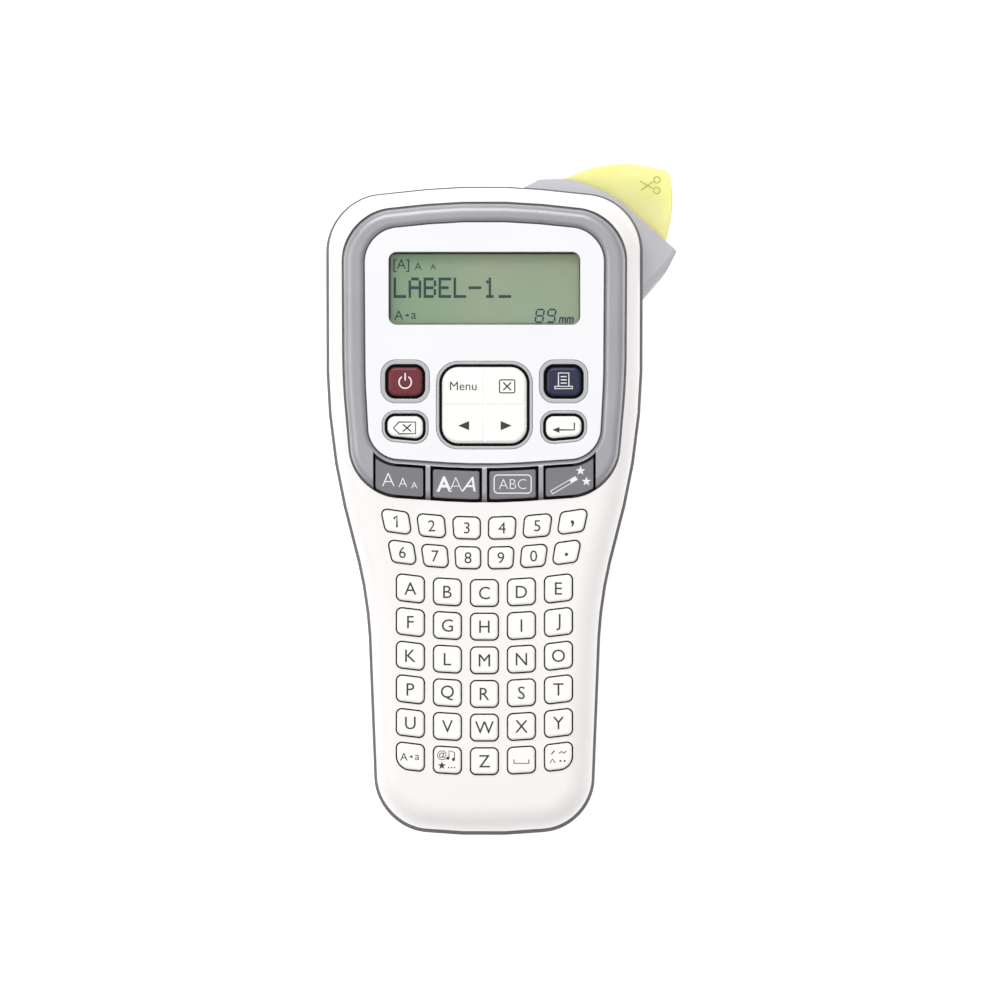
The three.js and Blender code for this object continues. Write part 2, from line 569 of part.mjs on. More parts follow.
function board() {
  const bossClear = SCREW.x - 3.2 - 1;
  const tail = TAIL_Y + 12;
  let plate = box(-bossClear, bossClear, NUMBER_Y[0], PANEL_TOP_Y - 3, BOARD_Z, BOARD_Z + BOARD_T);
  plate = plate.add(box(-TAIL_W / 2 + 5, TAIL_W / 2 - 5, tail, NUMBER_Y[0] + 1, BOARD_Z, BOARD_Z + BOARD_T));
  plate = plate.add(box(-7, 7, -32, -18, BOARD_Z - 1.4, BOARD_Z + 0.2));
  plate = plate.add(box(-16, -8, 16, 28, BOARD_Z - 1.6, BOARD_Z + 0.2));
  add("main_board", plate, MATERIALS.board);
  const sheetTop = POWER.y + POWER.h;
  const sheet = box(-TAIL_W / 2 + 6, TAIL_W / 2 - 6, tail + 1, sheetTop, SHEET_Z, SHEET_Z + SHEET_T);
  add("key_contact_sheet", sheet, MATERIALS.contact);
}

function keys() {
  const flangeTop = FLANGE_Z + FLANGE_T;
  for (const row of KEY_ROWS) {
    const all = row.keys.flat();
    const x0 = Math.min(...all.map((c) => c.x));
    const x1 = Math.max(...all.map((c) => c.x));
    let strip = box(x0 + 1, x1 - 1, row.y - 2.4, row.y + 3, FLANGE_Z, flangeTop);
    for (const key of row.keys) strip = strip.add(prism(outline(key, 0, 1), FLANGE_Z, FACE_Z + KEY_PROUD));
    add(row.name, strip, MATERIALS.key);
  }
  for (const key of PANEL_KEYS) {
    const top = FACE_Z + (key.nav ? NAV_PROUD : ROUND_KEY_PROUD);
    const cap = prism(outline(key.corners, 0, 2), FLANGE_Z, top);
    const flange = prism(outline(key.corners, -1.2, 1), FLANGE_Z, flangeTop);
    add(key.name, cap.add(flange), MATERIALS[key.material]);
  }
  for (const key of FUNCTION_KEYS) {
    const cap = functionPrism(key, 0, FLANGE_Z, FACE_Z + KEY_PROUD);
    const flange = box(key.x0 - 0.8, key.x1 + 0.8, RING_LOW_Y + 3, PANEL_LOW_Y - 3, FLANGE_Z, flangeTop);
    add(key.name, cap.add(flange), MATERIALS.greyKey);
  }
}

// ------------------------------------------------------------------ cutter
function cutter() {
  let lever = prism(outline(LEVER, 0, 3), LEVER_LOW_Z, LEVER_HIGH_Z);
  const hollow = outline(LEVER, LEVER_WALL, 2).map((p) => p.clone().add(new THREE.Vector2(-2.6, -3)));
  lever = lever.subtract(prism(hollow, LEVER_LOW_Z + LEVER_WALL, LEVER_HIGH_Z - LEVER_WALL));
  lever = lever.add(disc(PIVOT, LEVER_R, LEVER_LOW_Z, LEVER_HIGH_Z, 16));
  lever = lever.subtract(disc(PIVOT, PIN_R + 0.05, LEVER_LOW_Z - 1, LEVER_HIGH_Z + 1, 16));
  // Seat of the torsion spring, round the boss.
  let seat = disc(PIVOT, LEVER_R + 1.4, TAPE_Z - 3, TAPE_Z + 3, 16);
  seat = seat.subtract(disc(PIVOT, LEVER_R - 1, 0, 40, 16));
  add("cutter_lever", lever.subtract(seat), MATERIALS.lime);
  const pin = disc(PIVOT, PIN_R, LEVER_LOW_Z - PIN_SEAT, LEVER_HIGH_Z + PIN_SEAT, 16);
  add("cutter_lever_pin", pin, MATERIALS.steel);
  const coil = disc(PIVOT, LEVER_R + 1, TAPE_Z - 2.5, TAPE_Z + 2.5, 16);
  add("cutter_spring", coil.subtract(disc(PIVOT, LEVER_R - 0.6, 0, 40, 16)), MATERIALS.steel);

  const b = -BLADE_BACK;
  const low = LEVER_LOW_Z - 2;
  const high = LEVER_HIGH_Z - 5.6;
  // The carrier stops above the tape, and only the blade passes it.
  const face = BLADE_TRAVEL + TAPE_T / 2 + FIT;
  const block = prism(rectangle(b - 3, b + 3, face, face + 2.7), low, high);
  const slit = prism(rectangle(b - BLADE_T, b + BLADE_T, face - 1, face + 1.6), low - 1, TAPE_Z + 8.6);
  add("blade_carrier", block.subtract(slit), MATERIALS.dark, tapePath);
  // Single bevel, ground to an edge 0.1 wide.
  const blade = rectangle(b - BLADE_T / 2, b + BLADE_T / 2, BLADE_EDGE_OUT, face + 1.3);
  blade[0].y = BLADE_EDGE_OUT + 0.8;
  blade.splice(1, 0, new THREE.Vector2(b + 0.2, BLADE_EDGE_OUT));
  const reach = TAPE_W / 2 + 0.6;
  add("cutter_blade", prism(blade, TAPE_Z - reach, TAPE_Z + reach), MATERIALS.steel, tapePath);
}

// ------------------------------------------------------------------ printing and drive
// Teeth as trapezoids; phase points one tooth in that direction (degrees).
function gearOutline(teeth, phase) {
  const r = pitchR(teeth);
  const pitch = (2 * Math.PI) / teeth;
  const points = [];
  for (let i = 0; i < teeth; i++) {
    const at = THREE.MathUtils.degToRad(phase) + i * pitch;
    const root = r - MODULE;
    const tip = r + 0.7 * MODULE;
    for (const [turn, radius] of [[-0.3, root], [-0.12, tip], [0.12, tip], [0.3, root]]) {
      const angle = at + turn * pitch;
      points.push(new THREE.Vector2(radius * Math.cos(angle), radius * Math.sin(angle)));
    }
  }
  return points;
}
function gear(at, teeth, phase, z0, z1) {
  const g = prismGeometry(gearOutline(teeth, phase), z0, z1);
  return solid(g.translate(at.x, at.y, 0));
}
const halfTooth = (teeth) => 180 / teeth;

function drive() {
  const [big, small] = REDUCTION_TEETH;
  const highTop = HIGH_GEAR_Z + GEAR_T;
  const shaft = disc(PLATEN, PIN_R, CASSETTE_Z, highTop + 1, 12);
  add("platen_shaft", shaft, MATERIALS.steel);
  const rubber = disc(PLATEN, PLATEN_R, TAPE_Z - 7, TAPE_Z + 7, 20);
  add("platen_roller", rubber.subtract(disc(PLATEN, PIN_R + 0.05, 0, 60, 12)), MATERIALS.rubber);
  const platenGear = gear(PLATEN, PLATEN_TEETH, REDUCTION_AT, HIGH_GEAR_Z, highTop);
  add("platen_gear", platenGear.subtract(disc(PLATEN, PIN_R + 0.05, 0, 60, 12)), MATERIALS.nylon);

  const meets = REDUCTION_AT + 180 + halfTooth(small);
  let reduction = gear(REDUCTION, big, MOTOR_AT, LOW_GEAR_Z, LOW_GEAR_Z + GEAR_T);
  reduction = reduction.add(disc(REDUCTION, 3, LOW_GEAR_Z + GEAR_T - 0.1, HIGH_GEAR_Z + 0.1, 16));
  reduction = reduction.add(gear(REDUCTION, small, meets, HIGH_GEAR_Z, highTop));
  reduction = reduction.add(disc(REDUCTION, PIN_R, FLOOR_Z, LOW_GEAR_Z + 0.1, 12));
  add("reduction_gear", reduction, MATERIALS.nylon);

  const pinionAt = MOTOR_AT + 180 + halfTooth(PINION_TEETH);
  const pinion = gear(MOTOR, PINION_TEETH, pinionAt, LOW_GEAR_Z, LOW_GEAR_Z + GEAR_T);
  add("motor_pinion", pinion.add(disc(MOTOR, PIN_R, FLOOR_Z - 0.6, LOW_GEAR_Z + 0.1, 12)), MATERIALS.steel);
  add("feed_motor", disc(MOTOR, MOTOR_R, FLOOR_Z - 1 - MOTOR_L, FLOOR_Z - 1, 20), MATERIALS.steel);

  // The platen's tooth that the ribbon gear meets stands off its line by this angle.
  const step = 360 / PLATEN_TEETH;
  const off = (((RIBBON_AT - REDUCTION_AT) % step) + step) % step;
  const ribbonPhase = RIBBON_AT + 180 + halfTooth(RIBBON_TEETH) + (off * PLATEN_TEETH) / RIBBON_TEETH;
  let ribbon = gear(RIBBON, RIBBON_TEETH, ribbonPhase, HIGH_GEAR_Z, highTop);
  ribbon = ribbon.add(disc(RIBBON, 2.6, CASSETTE_Z + 4, HIGH_GEAR_Z + 0.1, 6));
  add("ribbon_drive_gear", ribbon, MATERIALS.nylon);

  const plateZ = FLOOR_TOP + 0.4;
  const x0 = RIBBON.x - 6;
  const x1 = HEAD_W / 2 - WALL - 2.5;
  const corners = plainCorners((x0 + x1) / 2, REDUCTION.y + 0.5, x1 - x0, 40, 8);
  let plate = prism(outline(corners, 0, 3), plateZ, plateZ + 0.8);
  for (const [at, r] of [[PLATEN, PIN_R + 0.4], [MOTOR, 2.4], [RIBBON, 3.4], [REDUCTION, PIN_R + FIT]]) {
    plate = plate.subtract(disc(at, r, plateZ - 1, plateZ + 2, 12));
  }
  add("mechanism_plate", plate, MATERIALS.steel);
}

function printHead() {
  const face = TAPE_T / 2 + FIT;
  const n = -NIP_BACK;
  const head = prism(rectangle(n - 5, n + 4, face, face + 1.1), TAPE_Z - 7, TAPE_Z + 7);
  add("print_head", head, MATERIALS.contact, tapePath);
  const pin = { x: HEAD_PIN.x, y: HEAD_PIN.y };
  let arm = prism(rectangle(pin.x, n + 4, face + 1.4, face + 2.9), TAPE_Z - 7.4, TAPE_Z + 7.4);
  arm = arm.add(disc(pin, 1.7, TAPE_Z - 7.4, TAPE_Z + 7.4, 14));
  arm = arm.subtract(disc(pin, PIN_R + 0.05, 0, 40, 14));
  add("head_heat_sink", arm, MATERIALS.aluminium, tapePath);
  add("head_pin", disc(pin, PIN_R, TAPE_Z - 8, FLOOR_Z - 0.3, 14), MATERIALS.steel, tapePath);
}

// ------------------------------------------------------------------ cassette
function cassette() {
  const { x0, x1, y0, y1 } = CASSETTE;
  const lidZ = CASSETTE_Z + CASSETTE_H - CASSETTE_WALL;
  const w = CASSETTE_WALL;
  const corners = plainCorners((x0 + x1) / 2, (y0 + y1) / 2, CASSETTE_W, CASSETTE_L, 3);
  let base = prism(outline(corners, 0, 2), CASSETTE_Z, lidZ - FIT);
  base = base.subtract(prism(outline(corners, w, 1), CASSETTE_Z + w, lidZ + 1));
  const tapeY = PLATEN.y + PLATEN_R + FIT + TAPE_T / 2;
  base = base.subtract(box(x1 - 3, x1 + 1, tapeY - 0.8, tapeY + 0.8, TAPE_Z - TAPE_W / 2 - 0.5, lidZ + 1));
  const hub = TAPE_Z + TAPE_W / 2 - 1;
  for (const spool of [ROLL, SUPPLY]) base = base.add(disc(spool, 3, CASSETTE_Z + w / 2, hub, 12));
  add("cassette_case", base, MATERIALS.cassette);
  const lid = prism(outline(corners, 0, 2), lidZ, lidZ + w).subtract(disc(RIBBON, 4, lidZ - 1, lidZ + 3, 12));
  add("cassette_lid", lid, MATERIALS.cassette);

  const low = TAPE_Z - TAPE_W / 2;
  const high = TAPE_Z + TAPE_W / 2;
  const ring = (at, r, hole) => disc(at, r, low, high, 24).subtract(disc(at, hole, 0, 60, 16));
  add("label_tape_roll", ring(ROLL, ROLL.r, 3.4), MATERIALS.tape);
  add("ribbon_supply_spool", ring(SUPPLY, SUPPLY.r, 3.4), MATERIALS.ribbon);
  const takeupR = CASSETTE.x1 - CASSETTE_WALL - 1.6 - RIBBON.x;
  add("ribbon_takeup_spool", ring(RIBBON, takeupR, 3.1), MATERIALS.ribbon);

  // The strip leaves the roll's top, bends over the platen and ends at the blade, where it was last cut.
  const bend = PLATEN_R + FIT + TAPE_T / 2;
  const centre = [new THREE.Vector2(ROLL.x, ROLL.y + ROLL.r + FIT + TAPE_T / 2)];
  centre.push(new THREE.Vector2(CASSETTE.x1 - 7, tapeY));
  for (let k = 0; k <= 4; k++) centre.push(polar(PLATEN, bend, 90 + (PATH_TURN * k) / 4));
  centre.push(fromExit(-BLADE_BACK - BLADE_T / 2 - FIT, 0));
  add("label_tape", prism(ribbonOutline(centre, TAPE_T), low, high), MATERIALS.tape);
}
// Both sides of a strip of the given thickness along a line of points.
function ribbonOutline(line, thickness) {
  const normals = line.map((p, i) => {
    const a = line[Math.max(i - 1, 0)];
    const b = line[Math.min(i + 1, line.length - 1)];
    return new THREE.Vector2(a.y - b.y, b.x - a.x).normalize().multiplyScalar(thickness / 2);
  });
  const lower = line.map((p, i) => p.clone().sub(normals[i]));
  const upper = line.map((p, i) => p.clone().add(normals[i]));
  return [...lower, ...upper.reverse()];
}

// ------------------------------------------------------------------ power
function power() {
  for (let i = 0; i < CELLS; i++) {
    const flip = i % 2 ? -1 : 1;
    const body = new THREE.CylinderGeometry(CELL_D / 2, CELL_D / 2, CELL_L - 1, 16).rotateZ(Math.PI / 2);
    const tip = new THREE.CylinderGeometry(1.9, 1.9, 2, 12).rotateZ(Math.PI / 2);
    const y = CELL_Y0 + i * CELL_PITCH;
    const can = solid(body.translate(-flip * 0.5, y, CELL_Z));
    const cell = can.add(solid(tip.translate(flip * (CELL_L / 2 - 1), y, CELL_Z)));
    add("battery_" + (i + 1), cell, MATERIALS.cell);
  }
  const y0 = CELL_Y0 - CELL_D / 2 + 1;
  const y1 = CELL_Y0 + (CELLS - 1) * CELL_PITCH + CELL_D / 2 - 1;
  const at = CELL_L / 2 + 2;
  for (const [side, name] of [[-1, "battery_contacts_left"], [1, "battery_contacts_right"]]) {
    const x = [side * at, side * (at + 0.6)].sort((a, b) => a - b);
    let strip = box(x[0], x[1], y0, y1, CELL_Z - 3.5, CELL_Z + 3.5);
    for (let i = 0; i < CELLS; i++) {
      const g = new THREE.CylinderGeometry(1.4, 2.6, 1.6, 8).rotateZ((side * Math.PI) / 2);
      strip = strip.add(solid(g.translate(side * (at - 0.7), CELL_Y0 + i * CELL_PITCH, CELL_Z)));
    }
    add(name, strip, MATERIALS.steel);
  }
  const wall = -HEAD_W / 2 + WALL + FIT;
  let jack = box(wall, wall + 11, INLET.y - 4.5, INLET.y + 4.5, INLET.z - 4.2, INLET.z + 4.2);
  const barrel = new THREE.CylinderGeometry(2.75, 2.75, 9, 14).rotateZ(Math.PI / 2);
  jack = jack.subtract(solid(barrel.translate(wall + 4, INLET.y, INLET.z)));
  const pin = new THREE.CylinderGeometry(0.8, 0.8, 9, 8).rotateZ(Math.PI / 2);
  jack = jack.add(solid(pin.translate(wall + 5.2, INLET.y, INLET.z)));
  add("dc_inlet", jack, MATERIALS.dark);
  for (const [side, name] of [[-1, "case_screw_left"], [1, "case_screw_right"]]) {
    const xy = { x: side * SCREW.x, y: SCREW.y };
    const shank = disc(xy, SCREW_R, FLOOR_Z - 1, SHELF_Z - 5, 10);
    add(name, shank.add(disc(xy, 2.6, FLOOR_Z - 2.3, FLOOR_Z - FIT, 14)), MATERIALS.steel);
  }
}

rearCase();
frontCase();
backCover();
ringAndPanel();
display();
board();
keys();
cutter();
drive();
printHead();
cassette();
power();

export default labelMaker;
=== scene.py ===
# %% [markdown]
# # A handheld label maker, modelled by hand
# The maker lies on its back: X runs to its right, Y to its head and Z out of its face.
# The engineering model is loaded first. It has the sizes, the joints and the plain solids.
# Every piece that is made here has the same place as its plain solid, and rides on the same body.

import math

import bmesh
import bpy
from mathutils import Matrix, Vector


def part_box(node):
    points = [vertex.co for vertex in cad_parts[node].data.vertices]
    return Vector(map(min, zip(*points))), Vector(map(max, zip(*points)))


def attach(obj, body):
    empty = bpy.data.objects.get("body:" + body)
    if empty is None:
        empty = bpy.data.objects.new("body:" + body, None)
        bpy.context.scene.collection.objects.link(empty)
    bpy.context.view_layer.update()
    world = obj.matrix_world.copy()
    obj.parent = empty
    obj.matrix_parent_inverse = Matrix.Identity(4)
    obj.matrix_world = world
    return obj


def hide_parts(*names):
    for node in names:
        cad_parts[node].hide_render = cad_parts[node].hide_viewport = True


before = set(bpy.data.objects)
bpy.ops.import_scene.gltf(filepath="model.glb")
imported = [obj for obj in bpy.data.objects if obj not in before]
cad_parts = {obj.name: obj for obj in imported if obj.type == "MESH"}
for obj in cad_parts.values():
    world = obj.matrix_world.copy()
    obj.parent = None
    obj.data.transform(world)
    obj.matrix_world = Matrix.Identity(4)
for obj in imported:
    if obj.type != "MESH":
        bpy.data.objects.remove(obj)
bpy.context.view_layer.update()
MM = 0.001


# %% [markdown]
# ## Working by hand, in code
# An operator acts on what is selected, so two small tools are needed everywhere.
# One selects whole objects, the other selects vertices, edges or faces by their place or normal.

# %% selecting
def only(*pieces):
    if bpy.context.mode != "OBJECT":
        bpy.ops.object.mode_set(mode="OBJECT")
    bpy.ops.object.select_all(action="DESELECT")
    for piece in pieces:
        piece.select_set(True)
    bpy.context.view_layer.objects.active = pieces[-1]


def pick(piece, kind, test):
    if bpy.context.mode != "EDIT_MESH":
        only(piece)
        bpy.ops.object.mode_set(mode="EDIT")
    bpy.ops.mesh.select_mode(type=kind)
    bpy.ops.mesh.select_all(action="DESELECT")
    mesh = bmesh.from_edit_mesh(piece.data)
    parts = {"VERT": mesh.verts, "EDGE": mesh.edges, "FACE": mesh.faces}[kind]
    chosen = [part for part in parts if test(part)]
    for part in chosen:
        part.select_set(True)
    mesh.select_flush_mode()
    bmesh.update_edit_mesh(piece.data)
    return len(chosen)


def done():
    bpy.ops.object.mode_set(mode="OBJECT")


bpy.ops.object.select_all(action="DESELECT")
print("nothing is selected:", not bpy.context.selected_objects)


# %% [markdown]
# ## Outlines as corner lists
# The cases, the ring and the keys are plates with rounded corners. An outline is a list of corners,
# each with the radius that rounds it, anticlockwise. Moving all its edges in or out by the same
# distance gives the outline of a wall, of a rim or of a gap.

# %% outlines
def mirrored(right):
    return right + [(-x, y, r) for x, y, r in reversed(right) if x > 0]


def drawn_in(corners, inset):
    moved = []
    for i, (x, y, r) in enumerate(corners):
        before, here, after = (Vector(corners[(i + k) % len(corners)][:2]) for k in (-1, 0, 1))
        into, out = (here - before).normalized(), (after - here).normalized()
        turn = into.cross(out)
        corner = here + (out - into) * inset / turn
        moved.append((corner.x, corner.y, max(r - inset * math.copysign(1, turn), 0.05)))
    return moved


def block_corners(x0, x1, y0, y1, r=0.05):
    return [(x0, y0, r), (x1, y0, r), (x1, y1, r), (x0, y1, r)]


CASE = mirrored([(0, -101.6, 170), (33.4, -97.6, 18), (36.2, -27.5, 110), (48.7, 21.5, 170),
                 (48.9, 95.9, 18), (0, 101, 170)])
RING = mirrored([(0, 2.3, 170), (40.2, 5.1, 15.5), (43.3, 40, 170), (43.6, 91.1, 16), (0, 95.7, 170)])
PANEL = mirrored([(0, 13.9, 170), (35.3, 16.3, 9.5), (36.6, 40, 170), (36.9, 86, 10.5), (0, 89.7, 170)])
FIN = [(46.3, 61.8, 0.5), (55.9, 73, 8), (59.5, 80, 1.2), (40.3, 96.8, 22), (26.9, 102.4, 14),
       (16.9, 102.1, 3), (9.9, 98.5, 0.5), (26.9, 92.2, 0.5), (40.9, 80.2, 0.5)]
LEVER = [(55.4, 80.4, 1), (58.8, 93.9, 30), (57.2, 104.7, 2.6), (40.5, 108.7, 34), (22.6, 101.8, 1.6),
         (23, 95.4, 2), (36, 96.2, 6), (50.6, 84.2, 6)]
print("case corners:", len(CASE), "ring:", len(RING), "panel:", len(PANEL))


# %% [markdown]
# ## A plate from a circle
# Each plate starts as a flat circle with one vertex per corner. The vertices are moved to the
# corners, each corner is bevelled by the reach of its own rounding, and the face is pulled up.
# Drawing a curve and filling it would work too, but bevelled corners stay easy to change.

# %% plates
def reaches(corners):
    count = len(corners)
    found, turns = [], []
    for i in range(count):
        before, here, after = (Vector(corners[(i + k) % count][:2]) for k in (-1, 0, 1))
        turn = abs((here - before).angle_signed(after - here))
        turns.append(turn)
        found.append(corners[i][2] * math.tan(turn / 2))
    for i in range(count):
        j = (i + 1) % count
        room = 0.98 * (Vector(corners[i][:2]) - Vector(corners[j][:2])).length
        share = min(1, room / max(found[i] + found[j], 1e-6))
        found[i] *= share
        found[j] *= share
    return zip(found, turns)


def plate(name, corners, low, high, degrees_a_step=6):
    bpy.ops.mesh.primitive_circle_add(vertices=len(corners), radius=1, fill_type="NGON")
    piece = bpy.context.object
    piece.name = name
    places = [Vector((x, y, low)) * MM for x, y, r in corners]
    for vertex, place in zip(piece.data.vertices, places):
        vertex.co = place
    for place, (reach, turn) in zip(places, reaches(corners)):
        if reach > 0.03:
            pick(piece, "VERT", lambda v: (v.co - place).length < 1e-8)
            steps = max(3, round(math.degrees(turn) / degrees_a_step))
            bpy.ops.mesh.bevel(offset=reach * MM, segments=steps, profile=0.5, affect="VERTICES")
    pick(piece, "FACE", lambda f: True)
    bpy.ops.mesh.extrude_region_move(TRANSFORM_OT_translate={"value": (0, 0, (high - low) * MM)})
    bpy.ops.mesh.select_all(action="SELECT")
    bpy.ops.mesh.normals_make_consistent(inside=False)
    done()
    return piece


def block(name, x0, x1, y0, y1, low, high):
    return plate(name, block_corners(x0, x1, y0, y1), low, high)


def disc(name, x, y, radius, low, high, sides=32):
    bpy.ops.mesh.primitive_cylinder_add(vertices=sides, radius=radius * MM, depth=(high - low) * MM,
                                        location=(x * MM, y * MM, (low + high) / 2 * MM))
    piece = bpy.context.object
    piece.name = name
    bpy.ops.object.transform_apply(location=True, rotation=True, scale=True)
    return piece


def level(part, height):
    return all(abs(v.co.z - height * MM) < 2e-6 for v in part.verts)


def rim(height):
    """Edges at one height that lie between a level face and a steep one."""
    def test(edge):
        return level(edge, height) and len(edge.link_faces) == 2 and \
            edge.calc_face_angle(0) > math.radians(30)
    return test


def round_rim(piece, height, radius, steps=4, where=None, profile=0.5):
    on_rim = rim(height)
    pick(piece, "EDGE", lambda e: on_rim(e) and (where is None or where(e)))
    bpy.ops.mesh.bevel(offset=radius * MM, segments=steps, profile=profile, affect="EDGES",
                       clamp_overlap=True)
    done()
    return piece


# %% [markdown]
# ## Cutting and joining
# Openings are cut with a tool piece, as on a milling machine, and ribs are joined on.
# A Boolean modifier does both, and it is applied at once, so that the mesh is the real shape.

# %% cutting, joining, copying
def combine(piece, tool, how):
    only(piece)
    step = piece.modifiers.new("combine", "BOOLEAN")
    step.operation, step.solver, step.object = how, "EXACT", tool
    bpy.ops.object.modifier_apply(modifier=step.name)
    bpy.data.objects.remove(tool)
    return piece


def cut(piece, *tools):
    for tool in tools:
        combine(piece, tool, "DIFFERENCE")
    return piece


def fuse(piece, *tools):
    for tool in tools:
        combine(piece, tool, "UNION")
    return piece


def copied(piece, x=0, y=0, z=0):
    copy = piece.copy()
    copy.data = piece.data.copy()
    bpy.context.scene.collection.objects.link(copy)
    copy.data.transform(Matrix.Translation(Vector((x, y, z)) * MM))
    return copy


def joined(name, parts):
    only(*parts)
    if len(parts) > 1:
        bpy.ops.object.join()
    piece = bpy.context.object
    piece.name = name
    return piece


print("tools ready")


# %% [markdown]
# ## Shader maths as Python
# A finish is a material whose colour, roughness and relief come from nodes. Writing node after node
# is long, so a small class wraps a socket: adding or multiplying two of them adds the Math node.
# A second class holds the material, and one method adds any other node.

# %% the finish classes
class Wire:
    def __init__(self, finish, socket):
        self.finish, self.socket = finish, socket

    def maths(self, operation, a, b):
        return self.finish.node("ShaderNodeMath", {"operation": operation}, {0: a, 1: b})

    def __add__(self, other):
        return self.maths("ADD", self, other)

    def __sub__(self, other):
        return self.maths("SUBTRACT", self, other)

    def __rsub__(self, other):
        return self.maths("SUBTRACT", other, self)

    def __mul__(self, other):
        return self.maths("MULTIPLY", self, other)

    __radd__ = __add__
    __rmul__ = __mul__


class Finish:
    def __init__(self, name, **values):
        self.material = bpy.data.materials.new(name)
        self.material.use_nodes = True
        self.tree = self.material.node_tree
        self.shader = self.tree.nodes["Principled BSDF"]
        for socket, value in values.items():
            self.shader.inputs[socket.replace("_", " ")].default_value = value
        self.place = self.node("ShaderNodeTexCoord", output="Object")

    def node(self, kind, settings={}, sockets={}, output=0):
        made = self.tree.nodes.new(kind)
        for name, value in settings.items():
            setattr(made, name, value)
        for name, value in sockets.items():
            if isinstance(value, Wire):
                self.tree.links.new(value.socket, made.inputs[name])
            else:
                made.inputs[name].default_value = value
        return Wire(self, made.outputs[output])

    def noise(self, size, detail=2.0, roughness=0.5):
        """Cloudy pattern whose spots are about size mm across."""
        return self.node("ShaderNodeTexNoise", {}, {"Vector": self.place, "Scale": 1 / (size * MM),
                                                    "Detail": detail, "Roughness": roughness})

    def spread(self, wire, low, high, to_low=0.0, to_high=1.0):
        return self.node("ShaderNodeMapRange", {"clamp": True},
                         {"Value": wire, "From Min": low, "From Max": high,
                          "To Min": to_low, "To Max": to_high})

    def mix(self, mask, a, b):
        return self.node("ShaderNodeMix", {"data_type": "RGBA"}, {0: mask, 6: a, 7: b}, output=2)

    def along(self, axis):
        """Place along X, Y or Z, in mm."""
        split = self.node("ShaderNodeSeparateXYZ", {}, {0: self.place}, output="XYZ".index(axis))
        return split * 1000.0

    def feed(self, socket, wire):
        self.tree.links.new(wire.socket, self.shader.inputs[socket])

    def relief(self, height, depth):
        """Bump whose full height is depth mm."""
        bump = self.node("ShaderNodeBump", {}, {"Height": height, "Strength": 1.0, "Distance": depth * MM})
        self.feed("Normal", bump)


def srgb(r, g, b):
    def linear(c):
        c /= 255
        return c / 12.92 if c <= 0.04045 else ((c + 0.055) / 1.055) ** 2.4
    return (linear(r), linear(g), linear(b), 1.0)


# %% [markdown]
# ## Moulded plastics
# Moulded plastic has a fine spark-eroded grain, and its colour drifts a little over the part.
# So each plastic mixes two near shades with a broad noise, varies its gloss with a finer one,
# and takes its relief from a third, whose spots are a fraction of a millimetre.

# %% plastics
def plastic(name, shade, drift, rough=0.42, grain=0.35, depth=0.006, **values):
    made = Finish(name, **values)
    broad = made.noise(28, 3)
    fine = made.noise(grain, 2)
    base, other = srgb(*shade), srgb(*[c + drift for c in shade])
    cloud = made.mix(made.spread(broad, 0.3, 0.7), base, other)
    speck = made.spread(made.noise(grain * 3, 1), 0.35, 0.65)
    made.feed("Base Color", made.mix(speck * 0.35, cloud, base))
    made.feed("Roughness", made.spread(fine, 0.25, 0.75, rough - 0.05, rough + 0.07))
    made.relief(fine, depth)
    return made


CASE_WHITE = plastic("case_white", (243, 239, 238), -3, rough=0.38)
PANEL_WHITE = plastic("panel_white", (240, 240, 243), -3, rough=0.33, grain=0.3, depth=0.004)
CASE_GREY = plastic("case_grey", (116, 116, 122), -6, rough=0.46, grain=0.5, depth=0.012)
# Painted light: the fin is the rear case's grey plastic, painted lighter because its top faces the lamp.
FIN_GREY_PAINTED_LIT = plastic("fin_grey", (190, 190, 195), -5, rough=0.46, grain=0.5, depth=0.012)
# Black plastic, also used as painted shade: the display's black strip and the keys' black feet.
BLACK_PLASTIC_AND_PAINTED_SHADE = plastic("black_plastic", (22, 22, 24), 6, rough=0.5)
KEY_CREAM = plastic("key_cream", (250, 248, 244), -3, rough=0.36, grain=0.25, depth=0.003)
KEY_GREY = plastic("key_grey", (122, 120, 124), -5, rough=0.4, grain=0.3, depth=0.004)
POWER_RED = plastic("power_red", (106, 8, 26), -6, rough=0.3, grain=0.3, depth=0.003, Coat_Weight=0.35)
PRINT_BLUE = plastic("print_blue", (10, 22, 62), -4, rough=0.3, grain=0.3, depth=0.003, Coat_Weight=0.2)
INK = plastic("legend_ink", (46, 44, 48), 6, rough=0.55, grain=0.12, depth=0.002)
INK_WHITE = plastic("legend_white", (238, 238, 240), -8, rough=0.55, grain=0.12, depth=0.002)
LCD_INK = plastic("lcd_ink", (22, 54, 62), 8, rough=0.5, grain=0.15, depth=0.001)
NYLON = plastic("gear_nylon", (232, 228, 214), -10, rough=0.4, grain=0.4, depth=0.006)
CASSETTE = plastic("cassette_grey", (176, 180, 184), -9, rough=0.34, grain=0.45, depth=0.01)
LABEL = plastic("label_white", (240, 240, 236), -5, rough=0.5, grain=0.2, depth=0.003)
RIBBON = plastic("ribbon_black", (16, 16, 18), 8, rough=0.28, grain=0.6, depth=0.01)
RUBBER = plastic("roller_rubber", (34, 34, 36), 10, rough=0.75, grain=0.2, depth=0.015)
CONTACT = plastic("contact_sheet", (60, 62, 66), 8, rough=0.6, grain=0.6, depth=0.01)
print("plastics:", sum(m.name.islower() for m in bpy.data.materials))

# %% [markdown]
# ## The silver ring's paint
# The ring is plastic with a silver paint. Tiny flakes lie at slightly different angles, which
# shows as a fine sparkle. A cellular pattern breaks the normal up, and the paint is half metal.

